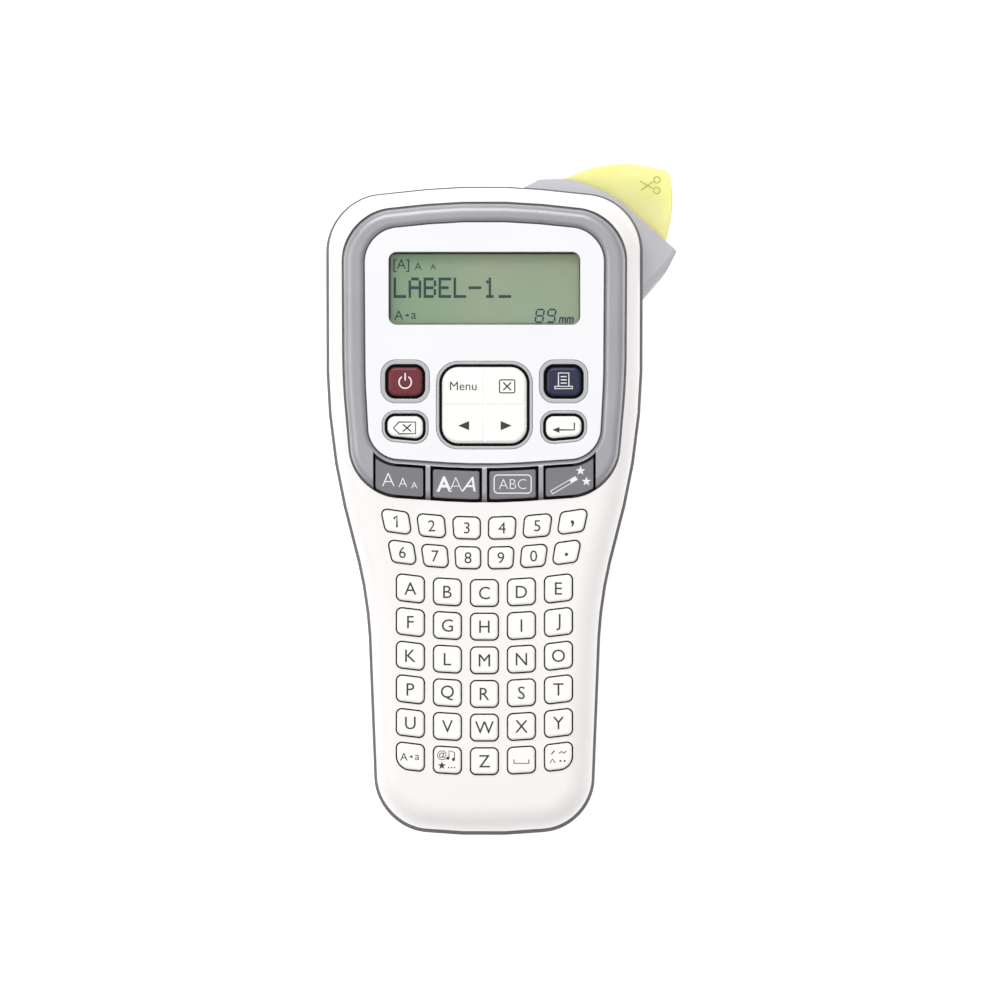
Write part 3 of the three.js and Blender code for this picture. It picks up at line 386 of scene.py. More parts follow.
# %% silver paint, steel and aluminium
SILVER = Finish("ring_silver", Metallic=0.55, Coat_Weight=0.25, Coat_Roughness=0.2)
flakes = SILVER.node("ShaderNodeTexVoronoi", {}, {"Vector": SILVER.place, "Scale": 6500.0})
SILVER.feed("Base Color", SILVER.mix(SILVER.spread(SILVER.noise(22, 3), 0.3, 0.7),
                                     srgb(170, 170, 175), srgb(161, 161, 166)))
SILVER.feed("Roughness", SILVER.spread(flakes, 0.2, 0.8, 0.36, 0.46))
SILVER.relief(flakes, 0.004)


COLLAR = plastic("collar_silver", (190, 190, 194), -6, rough=0.34, grain=0.2, depth=0.003, Metallic=0.3)


def brushed(name, shade, darker, rough, stretch):
    """Metal with scratches that run along one direction."""
    made = Finish(name, Metallic=1.0)
    squashed = made.node("ShaderNodeMapping", {}, {"Vector": made.place, "Scale": stretch})
    lines = made.node("ShaderNodeTexNoise", {}, {"Vector": squashed, "Scale": 2500.0, "Detail": 3.0})
    cloud = made.spread(made.noise(4, 3), 0.35, 0.65)
    made.feed("Base Color", made.mix(cloud, srgb(*shade), srgb(*darker)))
    made.feed("Roughness", made.spread(lines, 0.3, 0.7, rough - 0.08, rough + 0.1))
    made.relief(lines, 0.004)
    return made


STEEL = brushed("steel", (196, 198, 202), (178, 180, 186), 0.28, (1.0, 0.06, 1.0))
ALUMINIUM = brushed("heat_sink", (206, 208, 212), (190, 192, 198), 0.36, (0.05, 1.0, 1.0))
print("metals:", STEEL.material.name, ALUMINIUM.material.name)

# %% [markdown]
# ## The lever's tinted plastic
# The cutter lever is moulded in a cloudy yellow-green plastic. Light goes a little way in, so its
# thin edges glow brighter than its middle. Subsurface scattering and some transmission give that,
# with a slow cloudiness in the colour.

# %% tinted and clear plastics
LIME = Finish("lever_lime", Transmission_Weight=0.08, Subsurface_Weight=0.35, Subsurface_Scale=0.006,
              Subsurface_Radius=(0.9, 1.0, 0.35), IOR=1.49)
swirl = LIME.noise(9, 4, 0.6)
LIME.feed("Base Color", LIME.mix(LIME.spread(swirl, 0.35, 0.68), srgb(254, 252, 172), srgb(248, 246, 150)))
LIME.feed("Roughness", LIME.spread(LIME.noise(0.6), 0.3, 0.7, 0.3, 0.42))
LIME.relief(LIME.noise(1.2, 3), 0.01)

# Painted shade: the raised scissors are the lever's own plastic, painted a darker olive for their shading.
LIME_PAINTED_SHADE_LINES = plastic("lever_lines", (188, 192, 96), -8, rough=0.4)

CLEAR = Finish("window_clear", Transmission_Weight=1.0, IOR=1.2, Specular_IOR_Level=0.35)
CLEAR.feed("Base Color", CLEAR.mix(CLEAR.noise(6, 2), (1, 1, 1, 1), srgb(248, 252, 249)))
CLEAR.feed("Roughness", CLEAR.spread(CLEAR.noise(3, 3), 0.4, 0.8, 0.0, 0.03))
CLEAR.relief(CLEAR.noise(18, 1), 0.003)

# %% [markdown]
# ## The display's reflective glass
# A reflective display is grey-green. Painted shade makes it a little darker to its left, as the light
# falls on it, and it turns a little duller toward its upper right. A faint warm band across it is a
# painted highlight, and a very fine grid is left by the dot electrodes.

# %% display, board and cell finishes
LCD = Finish("lcd_green", Specular_IOR_Level=0.3)
across, up = LCD.along("X"), LCD.along("Y")
# Painted shade: a little darker to the left, as the light falls on the display.
side = LCD.mix(LCD.spread(across, -30, 26), srgb(148, 172, 140), srgb(166, 184, 158))
corner = LCD.spread(across + up * 1.6, 108, 150)
painted_shade_green = LCD.mix(corner, side, srgb(164, 174, 146))
# Painted highlight: a faint warm band, lighter than the green, wandering across the display.
wander = across + LCD.noise(14, 1) * 8.0
painted_highlight_streak = LCD.spread(wander, -9, 2) * (1 - LCD.spread(wander, 6, 18))
lit = LCD.mix(painted_highlight_streak * 0.35, painted_shade_green, srgb(178, 180, 154))
grid = LCD.node("ShaderNodeTexChecker", {}, {"Vector": LCD.place, "Scale": 1290.0}, output=1)
LCD.feed("Base Color", LCD.mix(grid * 0.05, lit, srgb(112, 138, 108)))
LCD.feed("Roughness", LCD.spread(LCD.noise(0.4), 0.3, 0.7, 0.42, 0.5))
LCD.relief(LCD.noise(0.3), 0.001)

BOARD = Finish("board_green", Coat_Weight=0.4)
tracks = BOARD.node("ShaderNodeTexBrick", {"offset": 0.5},
                    {"Vector": BOARD.place, "Scale": 260.0, "Mortar Size": 0.03}, output=1)
BOARD.feed("Base Color", BOARD.mix(tracks, srgb(26, 86, 52), srgb(52, 128, 78)))
BOARD.feed("Roughness", BOARD.spread(BOARD.noise(1.5), 0.3, 0.7, 0.35, 0.5))
BOARD.relief(tracks, 0.03)

CELL = Finish("cell_jacket", Metallic=0.15, Coat_Weight=0.5)
end = CELL.spread(CELL.along("X") + CELL.noise(12) * 0.6, 9, 9.4)
CELL.feed("Base Color", CELL.mix(end, srgb(42, 46, 54), srgb(186, 120, 52)))
CELL.feed("Roughness", CELL.spread(CELL.noise(2), 0.3, 0.7, 0.25, 0.4))
CELL.relief(CELL.noise(3, 3), 0.01)
print("finishes:", len(bpy.data.materials))


# %% [markdown]
# ## Settling a piece
# A finished piece gets its finish, smooth shading with sharp creases kept and the body that it moves
# with, and the plain solid that it stands for is hidden.

# %% settle
def settle(piece, body, finish, stands_for=(), smooth=32, weighted=True):
    only(piece)
    piece.data.materials.clear()
    piece.data.materials.append(finish.material)
    bpy.ops.object.shade_smooth_by_angle(angle=math.radians(smooth))
    if weighted:
        step = piece.modifiers.new("normals", "WEIGHTED_NORMAL")
        step.keep_sharp = True
        bpy.ops.object.modifier_apply(modifier=step.name)
    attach(piece, body)
    if stands_for:
        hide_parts(*stands_for)
    print(f"{piece.name}: {len(piece.data.polygons)} faces, rides on {body}")
    return piece


def z_of(node):
    low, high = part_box(node)
    return low.z / MM, high.z / MM


PART_Z, FACE_Z = z_of("front_case")
PANEL_LOW, PANEL_TOP = z_of("display_panel")
RING_LOW, RING_TOP = z_of("bezel_ring")
FLANGE_Z, LETTER_TOP = z_of("letter_keys_1")
print("front shell from", round(PART_Z, 2), "to", round(FACE_Z, 2))


# %% [markdown]
# ## Keys as corner lists
# The letter keys stand in a grid whose rows bow up to their ends. The number rows fan out
# to the head. Both follow the plain solids, so the openings and the caps share one list.

# %% key outlines
FIVE = [-2, -1, 0, 1, 2]
SIX = [-2.5, -1.5, -0.5, 0.5, 1.5, 2.5]
LETTER_PITCH = 10.36
KEY_R = 1.5


def bowed(y, x):
    return y + 0.0027 * x * x


def letter_key(column, row=0, outer_r=KEY_R):
    y = -25.6 - row * LETTER_PITCH
    x0, x1 = column * 11.4 - 4.1, column * 11.4 + 4.1
    corners = [(x, bowed(y, x) + up * 3.9, KEY_R) for x, up in ((x0, -1), (x1, -1), (x1, 1), (x0, 1))]
    if outer_r > KEY_R:
        place = 0 if column < 0 else 1
        corners[place] = (*corners[place][:2], outer_r)
    return corners


def number_key(place, row):
    corners = []
    for side, up in ((-1, -1), (1, -1), (1, 1), (-1, 1)):
        height = (-5.6, -14.8)[row] + up * (6.4, 6.3)[row] / 2
        x = (place + side * 0.365) * (10.84 + 0.08 * (height + 5.6))
        corners.append((x, bowed(height, x), KEY_R))
    return corners


def outer_round(row, column):
    return 4.0 if row == 5 and abs(column) == 2 else KEY_R


def square_key(x, y, w, h, r):
    return block_corners(x - w / 2, x + w / 2, y - h / 2, y + h / 2, r)


def slanted_key(side):
    corners = square_key(side * 24.4, 25.4, 10.9, 7.0, 2.4)
    place = 0 if side < 0 else 1
    corners[place] = (corners[place][0], corners[place][1] + 1, 2.4)
    return corners


POWER_KEY = square_key(-24.4, 39.6, 10.6, 8.9, 2.4)
PRINT_KEY = square_key(24.4, 39.6, 10.6, 8.9, 2.4)
NAV_KEY = square_key(0, 32.3, 26.1, 23.5, 5)
TYPED = [number_key(p, row) for row in (0, 1) for p in SIX]
TYPED += [letter_key(c, row, outer_round(row, c)) for row in range(6) for c in FIVE]
print("keys to type with:", len(TYPED))

# %% [markdown]
# ## The shape of the four ring keys
# These keys follow the curve of the ring. One tool shape, grown or not, makes their pockets in
# the ring, their openings in the case and the keys themselves, so all three keep the same curve.

# %% ring keys
FUNCTION = [("text_size_key", -33.8, -18.6), ("text_style_key", -16.2, -1.2),
            ("frame_key", 1.2, 16.2), ("decoration_key", 18.6, 33.8)]


def function_block(name, x0, x1, grow, low, high, top_gap=0.0):
    made = plate(name, drawn_in(RING, 0.5 - grow * 2), low, high, 5)
    combine(made, block("column", x0 - grow, x1 + grow, -20, 40, low - 1, high + 1), "INTERSECT")
    return cut(made, plate("inner", drawn_in(PANEL, -1.9 + grow - top_gap), low - 2, high + 2, 5))


print("keys in the ring:", len(FUNCTION))

# %% [markdown]
# ## The front case
# The white case is a shallow tray, turned over. Its face edge is well rounded, which is what
# catches the light round the whole maker. A plate is rounded at its upper rim, hollowed out from
# below, and the openings for ring and keys are cut through its face.

# %% front case
front = plate("front_shell", [(x, y + 0.35, r) for x, y, r in drawn_in(CASE, 0.9)], PART_Z, FACE_Z, 5)
round_rim(front, FACE_Z, 8, steps=10)
hollow = plate("hollow", drawn_in(CASE, 2.7), PART_Z - 1, 46.6)
keyroom = plate("keyroom", drawn_in(CASE, 4.6), 46, FACE_Z - 2)
cut(keyroom, plate("shelf", drawn_in(RING, -2), 40, 60))
cut(front, hollow, keyroom, plate("seat", drawn_in(RING, -0.5), 49, 60, 5))
gap = plate("ring_gap", drawn_in(RING, -0.47), 47.4, 49.5, 5)
cut(front, cut(gap, plate("inside", drawn_in(RING, 0.43), 40, 60, 5)))
cut(front, block("display_room", -31.3, 31.3, 55.3, 81.3, 40, 60))
for corners in (POWER_KEY, PRINT_KEY, NAV_KEY, slanted_key(-1), slanted_key(1)):
    cut(front, plate("opening", drawn_in(corners, -0.9), 40, 60))
for name, x0, x1 in FUNCTION:
    cut(front, function_block("opening", x0, x1, 0.46, 40, 60))
cut(front, joined("openings", [plate("opening", drawn_in(c, -0.45), 48, 60) for c in TYPED]))


def at_opening(edge):
    middle = (edge.verts[0].co + edge.verts[1].co) / 2
    return abs(middle.x) < 0.034 and middle.y < 0.001 and middle.y > -0.086


round_rim(front, FACE_Z, 0.22, steps=2, where=at_opening)
settle(front, "case", CASE_WHITE, ["front_case"])


# %% [markdown]
# ## The silver ring
# The ring frames the display panel and holds four keys in its lower side. It is crowned: a wide
# rounding outside and a smaller one inside. The pockets of the four keys run out over its lower
# edge. Each key is a little narrower than its pocket, which leaves a dark gap round it.

# %% ring and its keys
ring = plate("silver_ring", RING, RING_LOW, RING_TOP, 4)
round_rim(ring, RING_TOP, 3.0, steps=6)
cut(ring, plate("inside", drawn_in(PANEL, -0.3), 40, 60, 4))
round_rim(ring, RING_TOP, 1.7, steps=5)
for name, x0, x1 in FUNCTION:
    cut(ring, function_block("pocket", x0, x1, 0.5, 40, 60))
settle(ring, "case", SILVER, ["bezel_ring"], smooth=28)


def upright(edge):
    run = (edge.verts[0].co - edge.verts[1].co).normalized()
    return abs(run.z) > 0.99 and edge.calc_face_angle(0) > math.radians(50)


for name, x0, x1 in FUNCTION:
    made = function_block(name + "_cap", x0 + 0.3, x1 - 0.3, 0, FLANGE_Z, FACE_Z + 1, top_gap=0.45)
    pick(made, "EDGE", upright)
    bpy.ops.mesh.bevel(offset=0.7 * MM, segments=4, affect="EDGES")
    round_rim(made, FACE_Z + 1, 0.55, steps=3)
    settle(made, name, KEY_GREY, [name])

# %% [markdown]
# ## The display panel
# The panel is a white plate inside the ring. It has a window, and five recesses round the keys.
# Each recess has a silver collar that slopes down to the key, so the key looks set in a frame.

# %% panel, collars and window
WINDOW = block_corners(-29.5, 29.5, 57.1, 79.5, 2.5)
RECESSES = [("power_key", POWER_KEY, 2.25), ("print_key", PRINT_KEY, 2.25),
            ("navigation_key", NAV_KEY, 1.85), ("backspace_key", slanted_key(-1), 1.75),
            ("enter_key", slanted_key(1), 1.75)]
panel = plate("panel_plate", PANEL, PANEL_LOW, PANEL_TOP, 5)
cut(panel, plate("window_hole", WINDOW, 40, 60))
for name, corners, width in RECESSES:
    cut(panel, plate("recess", drawn_in(corners, -width), 40, 60))
round_rim(panel, PANEL_TOP, 0.45, steps=3)
settle(panel, "case", PANEL_WHITE, ["display_panel"])

collars = []
for name, corners, width in RECESSES:
    collar = plate("collar", drawn_in(corners, 0.06 - width), PANEL_LOW, PANEL_TOP - 0.2)
    cut(collar, plate("hole", drawn_in(corners, -0.85), 40, 60))
    collars.append(collar)
collar = joined("key_collars", collars)
round_rim(collar, PANEL_TOP - 0.2, 0.35, steps=2)
settle(collar, "case", COLLAR)

pane = plate("window_pane", drawn_in(WINDOW, 0.1), PANEL_LOW + 0.2, PANEL_LOW + 1.5)
round_rim(pane, PANEL_LOW + 1.5, 0.2, steps=2)
settle(pane, "case", CLEAR, ["display_window"])

# %% [markdown]
# ## The display
# Behind the window lies the display glass. A black mask covers its edges; the strip of it inside the
# window is painted shadow, the shadow of the window's frame, so it is widest at the top and the left.

# %% display glass and mask
cell_low, cell_top = z_of("lcd_cell")
glass = block("lcd_glass", -31, 31, 55.6, 81, cell_low, cell_top)
round_rim(glass, cell_top, 0.15, steps=2)
settle(glass, "case", LCD, ["lcd_cell"])
# Painted shadow: the black strip inside the window stands for the frame's shadow.
mask = plate("lcd_mask", drawn_in(WINDOW, -0.9), cell_top + 0.08, PANEL_LOW + 0.15)
cut(mask, plate("view", block_corners(-28.9, 29.2, 57.4, 78.8, 1.2), 40, 60))
round_rim(mask, PANEL_LOW + 0.15, 0.1, steps=1)
settle(mask, "case", BLACK_PLASTIC_AND_PAINTED_SHADE)


# %% [markdown]
# ## The typing keys
# The keys are soft caps on one strip per row. A column is the same in every row, so each of the
# five caps is modelled once and copied down, each copy with its own mesh. The two outer caps of
# the last row have a larger corner, so these are made on their own.

# %% caps
def cap(name, corners, low, high, edge, steps=3):
    made = plate(name, corners, low, high, 12)
    return round_rim(made, high, edge, steps=steps)


CAP_LOW = FLANGE_Z + 1.4
masters = [cap("letter", letter_key(c), CAP_LOW, LETTER_TOP, 0.7) for c in FIVE]
for row in range(6):
    caps = [copied(m, y=-row * LETTER_PITCH) for m in masters]
    if row == 5:
        for place in (0, 4):
            bpy.data.objects.remove(caps[place])
            corners = letter_key(FIVE[place], row, outer_round(row, FIVE[place]))
            caps[place] = cap("letter", corners, CAP_LOW, LETTER_TOP, 0.7)
    y = -25.6 - row * LETTER_PITCH
    caps.append(block("strip", -26.4, 26.4, y - 2.4, y + 3, FLANGE_Z, FLANGE_Z + 1.5))
    node = f"letter_keys_{row + 1}"
    settle(joined(node + "_caps", caps), node, KEY_CREAM, [node])
for made in masters:
    bpy.data.objects.remove(made)

for row, node in enumerate(("number_keys_upper", "number_keys_lower")):
    caps = [cap("number", number_key(p, row), CAP_LOW, LETTER_TOP, 0.65) for p in SIX]
    y = (-5.6, -14.8)[row]
    caps.append(block("strip", -28, 28, y - 2, y + 2.6, FLANGE_Z, FLANGE_Z + 1.5))
    settle(joined(node + "_caps", caps), node, KEY_CREAM, [node])

# %% [markdown]
# ## The five panel keys
# Power and print are coloured and stand a little prouder, with a softer edge. The large key in
# the middle has a faint cross groove that divides it. Each cap stands on a foot painted black, which
# is painted shade for the gap round the cap.

# %% panel keys
def painted_shade_foot(node, corners):
    """The foot that holds a cap under the panel, painted black as the shade in the gap round the cap."""
    foot = plate(node + "_skirt", drawn_in(corners, -1.2), FLANGE_Z, FLANGE_Z + 1.4)
    round_rim(foot, FLANGE_Z + 1.4, 0.2, steps=2)
    settle(foot, node, BLACK_PLASTIC_AND_PAINTED_SHADE)


for node, corners, finish, slot in (("power_key", POWER_KEY, POWER_RED, "power_red"),
                                    ("print_key", PRINT_KEY, PRINT_BLUE, "print_blue"),
                                    ("backspace_key", slanted_key(-1), KEY_CREAM, "key_cream"),
                                    ("enter_key", slanted_key(1), KEY_CREAM, "key_cream")):
    made = cap(node + "_cap", corners, CAP_LOW, z_of(node)[1], 1.0, steps=5)
    settle(made, node, finish, [node])
    painted_shade_foot(node, corners)

NAV_TOP = z_of("navigation_key")[1]


def groove_tool(x0, x1, y0, y1):
    """A bar whose lower face is a shallow V, a quarter of a millimetre deep."""
    bpy.ops.mesh.primitive_cube_add(size=1, location=(0, 0, 0))
    bar = bpy.context.object
    for vertex in bar.data.vertices:
        x, y, z = vertex.co
        level_z = NAV_TOP - 0.05 if z < 0 else NAV_TOP + 2
        vertex.co = Vector((x0 if x < 0 else x1, y0 if y < 0 else y1, level_z)) * MM
    pick(bar, "FACE", lambda f: f.normal.z < -0.9)
    bpy.ops.mesh.extrude_region_move(TRANSFORM_OT_translate={"value": (0, 0, -0.2 * MM)})
    done()
    middle = ((x0 + x1) / 2, (y0 + y1) / 2)
    for vertex in bar.data.vertices:
        if vertex.co.z < (NAV_TOP - 0.15) * MM:
            if x1 - x0 < y1 - y0:
                vertex.co.x = (middle[0] + (0.15 if vertex.co.x > middle[0] * MM else -0.15)) * MM
            else:
                vertex.co.y = (middle[1] + (0.15 if vertex.co.y > middle[1] * MM else -0.15)) * MM
    return bar


nav = cap("navigation_key_cap", NAV_KEY, CAP_LOW, NAV_TOP, 1.3, steps=6)
print("cap before the grooves:", len(nav.data.polygons), "faces")
for x0, x1, y0, y1 in ((-0.5, 0.5, 18, 46), (-15, 15, 31.8, 32.8)):
    cut(nav, groove_tool(x0, x1, y0, y1))
settle(nav, "navigation_key", KEY_CREAM, ["navigation_key"])
painted_shade_foot("navigation_key", NAV_KEY)


# %% [markdown]
# ## Printed legends
# Legends are thin ink on the keys. Letters start as text in Blender's own font, drawn in a little
# so that the strokes are thin. Lines start as a curve with a round section, pressed flat. Both
# become meshes before they are placed.

# %% ink
def ink_text(text, x, y, height, thin=0.0, lean=0.0, wide=1.0):
    bpy.ops.object.text_add(location=(0, 0, 0))
    made = bpy.context.object
    made.data.body = text
    made.data.align_x, made.data.align_y = "CENTER", "CENTER"
    made.data.size = 1
    made.data.offset = -thin
    made.data.shear = lean
    made.data.resolution_u = 3
    made.data.extrude = 0.01
    only(made)
    bpy.ops.object.convert(target="MESH")
    made = bpy.context.object
    tall = 0.7
    size = height / tall
    xs = [v.co.x for v in made.data.vertices]
    ys = [v.co.y for v in made.data.vertices]
    centre = Vector(((min(xs) + max(xs)) / 2, (min(ys) + max(ys)) / 2, 0))
    place = Matrix.Translation(Vector((x, y, 0)) * MM)
    made.data.transform(place @ Matrix.Diagonal((size * wide * MM, size * MM, 0.03 / 0.02 * MM, 1))
                        @ Matrix.Translation(-centre))
    return made


def ink_line(points, width=0.32, closed=False):
    data = bpy.data.curves.new("line", "CURVE")
    data.dimensions = "3D"
    spline = data.splines.new("POLY")
    spline.points.add(len(points) - 1)
    for point, (x, y) in zip(spline.points, points):
        point.co = (x, y, 0, 1)
    spline.use_cyclic_u = closed
    data.bevel_depth = width / 2
    data.bevel_resolution = 1
    data.use_fill_caps = True
    made = bpy.data.objects.new("line", data)
    bpy.context.scene.collection.objects.link(made)
    only(made)
    bpy.ops.object.convert(target="MESH")
    made = bpy.context.object
    made.data.transform(Matrix.Diagonal((MM, MM, 0.03 / width * MM, 1)))
    return made


def ink_shape(points):
    return plate("shape", [(x, y, 0.0) for x, y in points], -0.015, 0.015)


def arc(x, y, radius, start, end, steps=20):
    angles = [math.radians(start + (end - start) * k / steps) for k in range(steps + 1)]
    return [(x + radius * math.cos(a), y + radius * math.sin(a)) for a in angles]


def star(x, y, radius):
    points = []
    for k in range(10):
        a = math.radians(90 + 36 * k)
        r = radius if k % 2 == 0 else radius * 0.42
        points.append((x + r * math.cos(a), y + r * math.sin(a)))
    return points


def round_box(x, y, w, h, r, steps=5):
    points = []
    for cx, cy, start in ((x + w / 2 - r, y - h / 2 + r, -90), (x + w / 2 - r, y + h / 2 - r, 0),
                          (x - w / 2 + r, y + h / 2 - r, 90), (x - w / 2 + r, y - h / 2 + r, 180)):
        points += arc(cx, cy, r, start, start + 90, steps)
    return points


def triangle(x, y, size, way):
    return [(x - way * size * 0.5, y - size * 0.42), (x + way * size * 0.5, y),
            (x - way * size * 0.5, y + size * 0.42)][::way]


def legend(name, parts, height, body, finish=None):
    made = joined(name, parts)
    made.data.transform(Matrix.Translation((0, 0, (height + 0.01) * MM)))
    return settle(made, body, finish or INK, weighted=False)


print("ink tools ready")


# %% [markdown]
# ## Letters, numbers and signs
# Each row's legends are one piece, because they move with their row.

# %% legends of the typing keys
def centre(corners):
    return sum(c[0] for c in corners) / 4, sum(c[1] for c in corners) / 4


for row, (node, signs) in enumerate((("number_keys_upper", "12345,"), ("number_keys_lower", "67890."))):
    parts = []
    for place, sign in zip(SIX, signs):
        x, y = centre(number_key(place, row))
        if sign == "1":
            parts.append(ink_line([(x - 0.85, y + 0.85), (x + 0.15, y + 1.75), (x + 0.15, y - 1.75)], 0.62))
        else:
            parts.append(ink_text(sign, x, y - (0.6 if sign in ",." else 0), 6.0 if sign in ",." else 3.5))
    legend(node + "_legends", parts, LETTER_TOP, node)

for row, signs in enumerate(("ABCDE", "FGHIJ", "KLMNO", "PQRST", "UVWXY")):
    parts = [ink_text(sign, *centre(letter_key(c, row)), 3.9) for c, sign in zip(FIVE, signs)]
    node = f"letter_keys_{row + 1}"
    legend(node + "_legends", parts, LETTER_TOP, node)

(x0, y0), (x1, y1), (x2, y2), (x3, y3), (x4, y4) = (centre(letter_key(c, 5)) for c in FIVE)
parts = [ink_text("A", x0 - 2, y0, 2.4), ink_shape(triangle(x0 + 0.1, y0, 1.1, -1)),
         ink_text("a", x0 + 2.1, y0 - 0.2, 2.4),
         ink_text("@", x1 - 1.7, y1 + 1.5, 2.2), ink_shape(star(x1 - 1.7, y1 - 1.7, 1.3)),
         ink_line([(x1 + 0.5, y1 + 0.7), (x1 + 0.5, y1 + 2.9), (x1 + 2.2, y1 + 2.4),
                   (x1 + 2.2, y1 + 0.3)], 0.3),
         ink_shape(arc(x1 + 0.15, y1 + 0.6, 0.5, 0, 330, 9)),
         ink_shape(arc(x1 + 1.85, y1 + 0.2, 0.5, 0, 330, 9)),
         ink_text("Z", x2, y2, 3.9),
         ink_line([(x3 - 2.3, y3 + 0.2), (x3 - 2.3, y3 - 1), (x3 + 2.3, y3 - 1),
                   (x3 + 2.3, y3 + 0.2)], 0.36),
         ink_line([(x4 - 2.2, y4 + 0.7), (x4 - 1.2, y4 + 1.9)], 0.36),
         ink_line([(x4 - 2.6, y4 - 1.9), (x4 - 1.8, y4 - 0.7), (x4 - 1, y4 - 1.9)], 0.32),
         ink_line([(x4 + 0.2, y4 + 1), (x4 + 0.9, y4 + 1.6), (x4 + 1.7, y4 + 1.1),
                   (x4 + 2.4, y4 + 1.7)], 0.34)]
parts += [ink_shape(arc(x1 + dx, y1 - 2.3, 0.24, 0, 320, 8)) for dx in (0.4, 1.3, 2.2)]
parts += [ink_shape(arc(x4 + dx, y4 - 1.3, 0.32, 0, 320, 8)) for dx in (0.6, 1.9)]
legend("letter_keys_6_legends", parts, LETTER_TOP, "letter_keys_6")

# %% [markdown]
# ## Signs of the panel keys
# The signs are the usual ones of office machines: a power sign, a printed page, an arrow that
# deletes, a bent arrow that enters, and the marks of the large key.

# %% legends of the panel keys
KEY_TOP = z_of("power_key")[1]
power = [ink_line(arc(-24.4, 39.4, 1.9, 122, 418, 24), 0.42),
         ink_line([(-24.4, 39.9), (-24.4, 42.2)], 0.42)]
legend("power_sign", power, KEY_TOP, "power_key", INK_WHITE)
page = [ink_line([(22.8, 38.1), (22.8, 42.2), (26.0, 42.2), (26.0, 38.1)], 0.36),
        ink_line([(21.7, 37.4), (21.7, 38.1), (27.1, 38.1), (27.1, 37.4)], 0.36, closed=True)]
page += [ink_line([(23.5, 39.1 + k), (25.3, 39.1 + k)], 0.34) for k in (0, 1.0, 2.0)]
legend("print_sign", page, KEY_TOP, "print_key", INK_WHITE)
erase = [ink_line([(-28.0, 25.3), (-26.3, 23.5), (-21.2, 23.5), (-21.2, 27.1), (-26.3, 27.1)],
                  0.42, closed=True),
         ink_line([(-25.1, 24.2), (-22.6, 26.4)], 0.42), ink_line([(-25.1, 26.4), (-22.6, 24.2)], 0.42)]
legend("backspace_sign", erase, KEY_TOP, "backspace_key")
enter = [ink_line([(27.7, 26.9), (27.7, 24.7), (22.2, 24.7)], 0.48), ink_shape(triangle(22, 24.7, 2.2, -1))]
legend("enter_sign", enter, KEY_TOP, "enter_key")
marks = [ink_text("Menu", -6.5, 38.2, 2.7),
         ink_line(round_box(7, 38.1, 4.7, 4.0, 0.4, 2), 0.38, closed=True),
         ink_line([(5.8, 36.9), (8.2, 39.3)], 0.42), ink_line([(5.8, 39.3), (8.2, 36.9)], 0.42),
         ink_shape(triangle(-6.4, 26.0, 3.4, -1)), ink_shape(triangle(6.7, 26.0, 3.4, 1))]
legend("navigation_signs", marks, NAV_TOP, "navigation_key")

# %% [markdown]
# ## Signs of the four ring keys
# Text size, text style, frame and decoration, in white.

# %% legends of the ring keys
RING_KEY_TOP = FACE_Z + 1


def white_legend(name, parts, body):
    return legend(name, parts, RING_KEY_TOP, body, INK_WHITE)


white_legend("text_size_sign", [ink_text("A", -29.6, 9.4, 4.4, thin=0.02),
                                ink_text("A", -25.1, 8.5, 3.0, thin=0.016),
                                ink_text("A", -21.6, 7.7, 2.1, thin=0.01)], "text_size_key")
white_legend("text_style_sign", [ink_text("A", -12.4, 8.0, 4.6, thin=-0.02),
                                 ink_text("A", -8.8, 8.0, 4.6, thin=0.026),
                                 ink_text("A", -4.9, 8.0, 4.6, lean=0.3)], "text_style_key")
white_legend("frame_sign", [ink_text("ABC", 8.7, 8.0, 3.2, thin=0.018),
                            ink_line(round_box(8.7, 8.0, 11.4, 5.6, 1.1), 0.34, closed=True)],
             "frame_key")
wand = [ink_line([(20.4, 5.9), (28.0, 10.3), (28.6, 9.4), (21.0, 5.0)], 0.34, closed=True),
        ink_shape([(26.2, 9.2), (26.8, 8.3), (28.6, 9.4), (28.0, 10.3)]),
        ink_shape(star(29.6, 12.1, 1.5)), ink_shape(star(31.4, 8.8, 1.5))]
white_legend("decoration_sign", wand, "decoration_key")

# %% [markdown]
# ## What the display shows
# The display's segments are printed electrodes: a row of small marks, one word in a grid of
# five by seven dots, and the label's length in slanted seven-segment figures. One dot is made
# and copied, each copy with its own mesh.

# %% display segments
GLYPHS = {"L": "10000 10000 10000 10000 10000 10000 11111",
          "A": "01110 10001 10001 11111 10001 10001 10001",
          "B": "11110 10001 10001 11110 10001 10001 11110",
          "E": "11111 10000 10000 11110 10000 10000 11111",
          "-": "00000 00000 00000 11111 00000 00000 00000",
          "1": "00100 01100 00100 00100 00100 00100 01110",
          "_": "00000 00000 00000 00000 00000 00000 11111"}
dot = block("dot", -0.38, 0.38, -0.44, 0.44, -0.015, 0.015)
dots = []
for i, sign in enumerate("LABEL-1_"):
    for j, line in enumerate(GLYPHS[sign].split()):
        for k, on in enumerate(line):
            if on == "1":
                dots.append(copied(dot, -27.6 + i * 4.62 + k * 0.78, 71.2 - j * 0.9))
bpy.data.objects.remove(dot)


def figure(x, y, w, h, segments):
    """One seven-segment figure; each segment is a slanted line."""
    corners = {"a": ((0, 1), (1, 1)), "b": ((1, 1), (1, 0.5)), "c": ((1, 0.5), (1, 0)),
               "d": ((0, 0), (1, 0)), "e": ((0, 0), (0, 0.5)), "f": ((0, 0.5), (0, 1)),
               "g": ((0, 0.5), (1, 0.5))}
    lines = []
    for s in segments:
        (ax, ay), (bx, by) = corners[s]
        dx, dy = (bx - ax) * 0.08, (by - ay) * 0.12
        a, b = (ax + dx, ay + dy), (bx - dx, by - dy)
        lines.append(ink_line([(x + p * w + q * h * 0.14, y + q * h) for p, q in (a, b)], 0.52))
    return lines


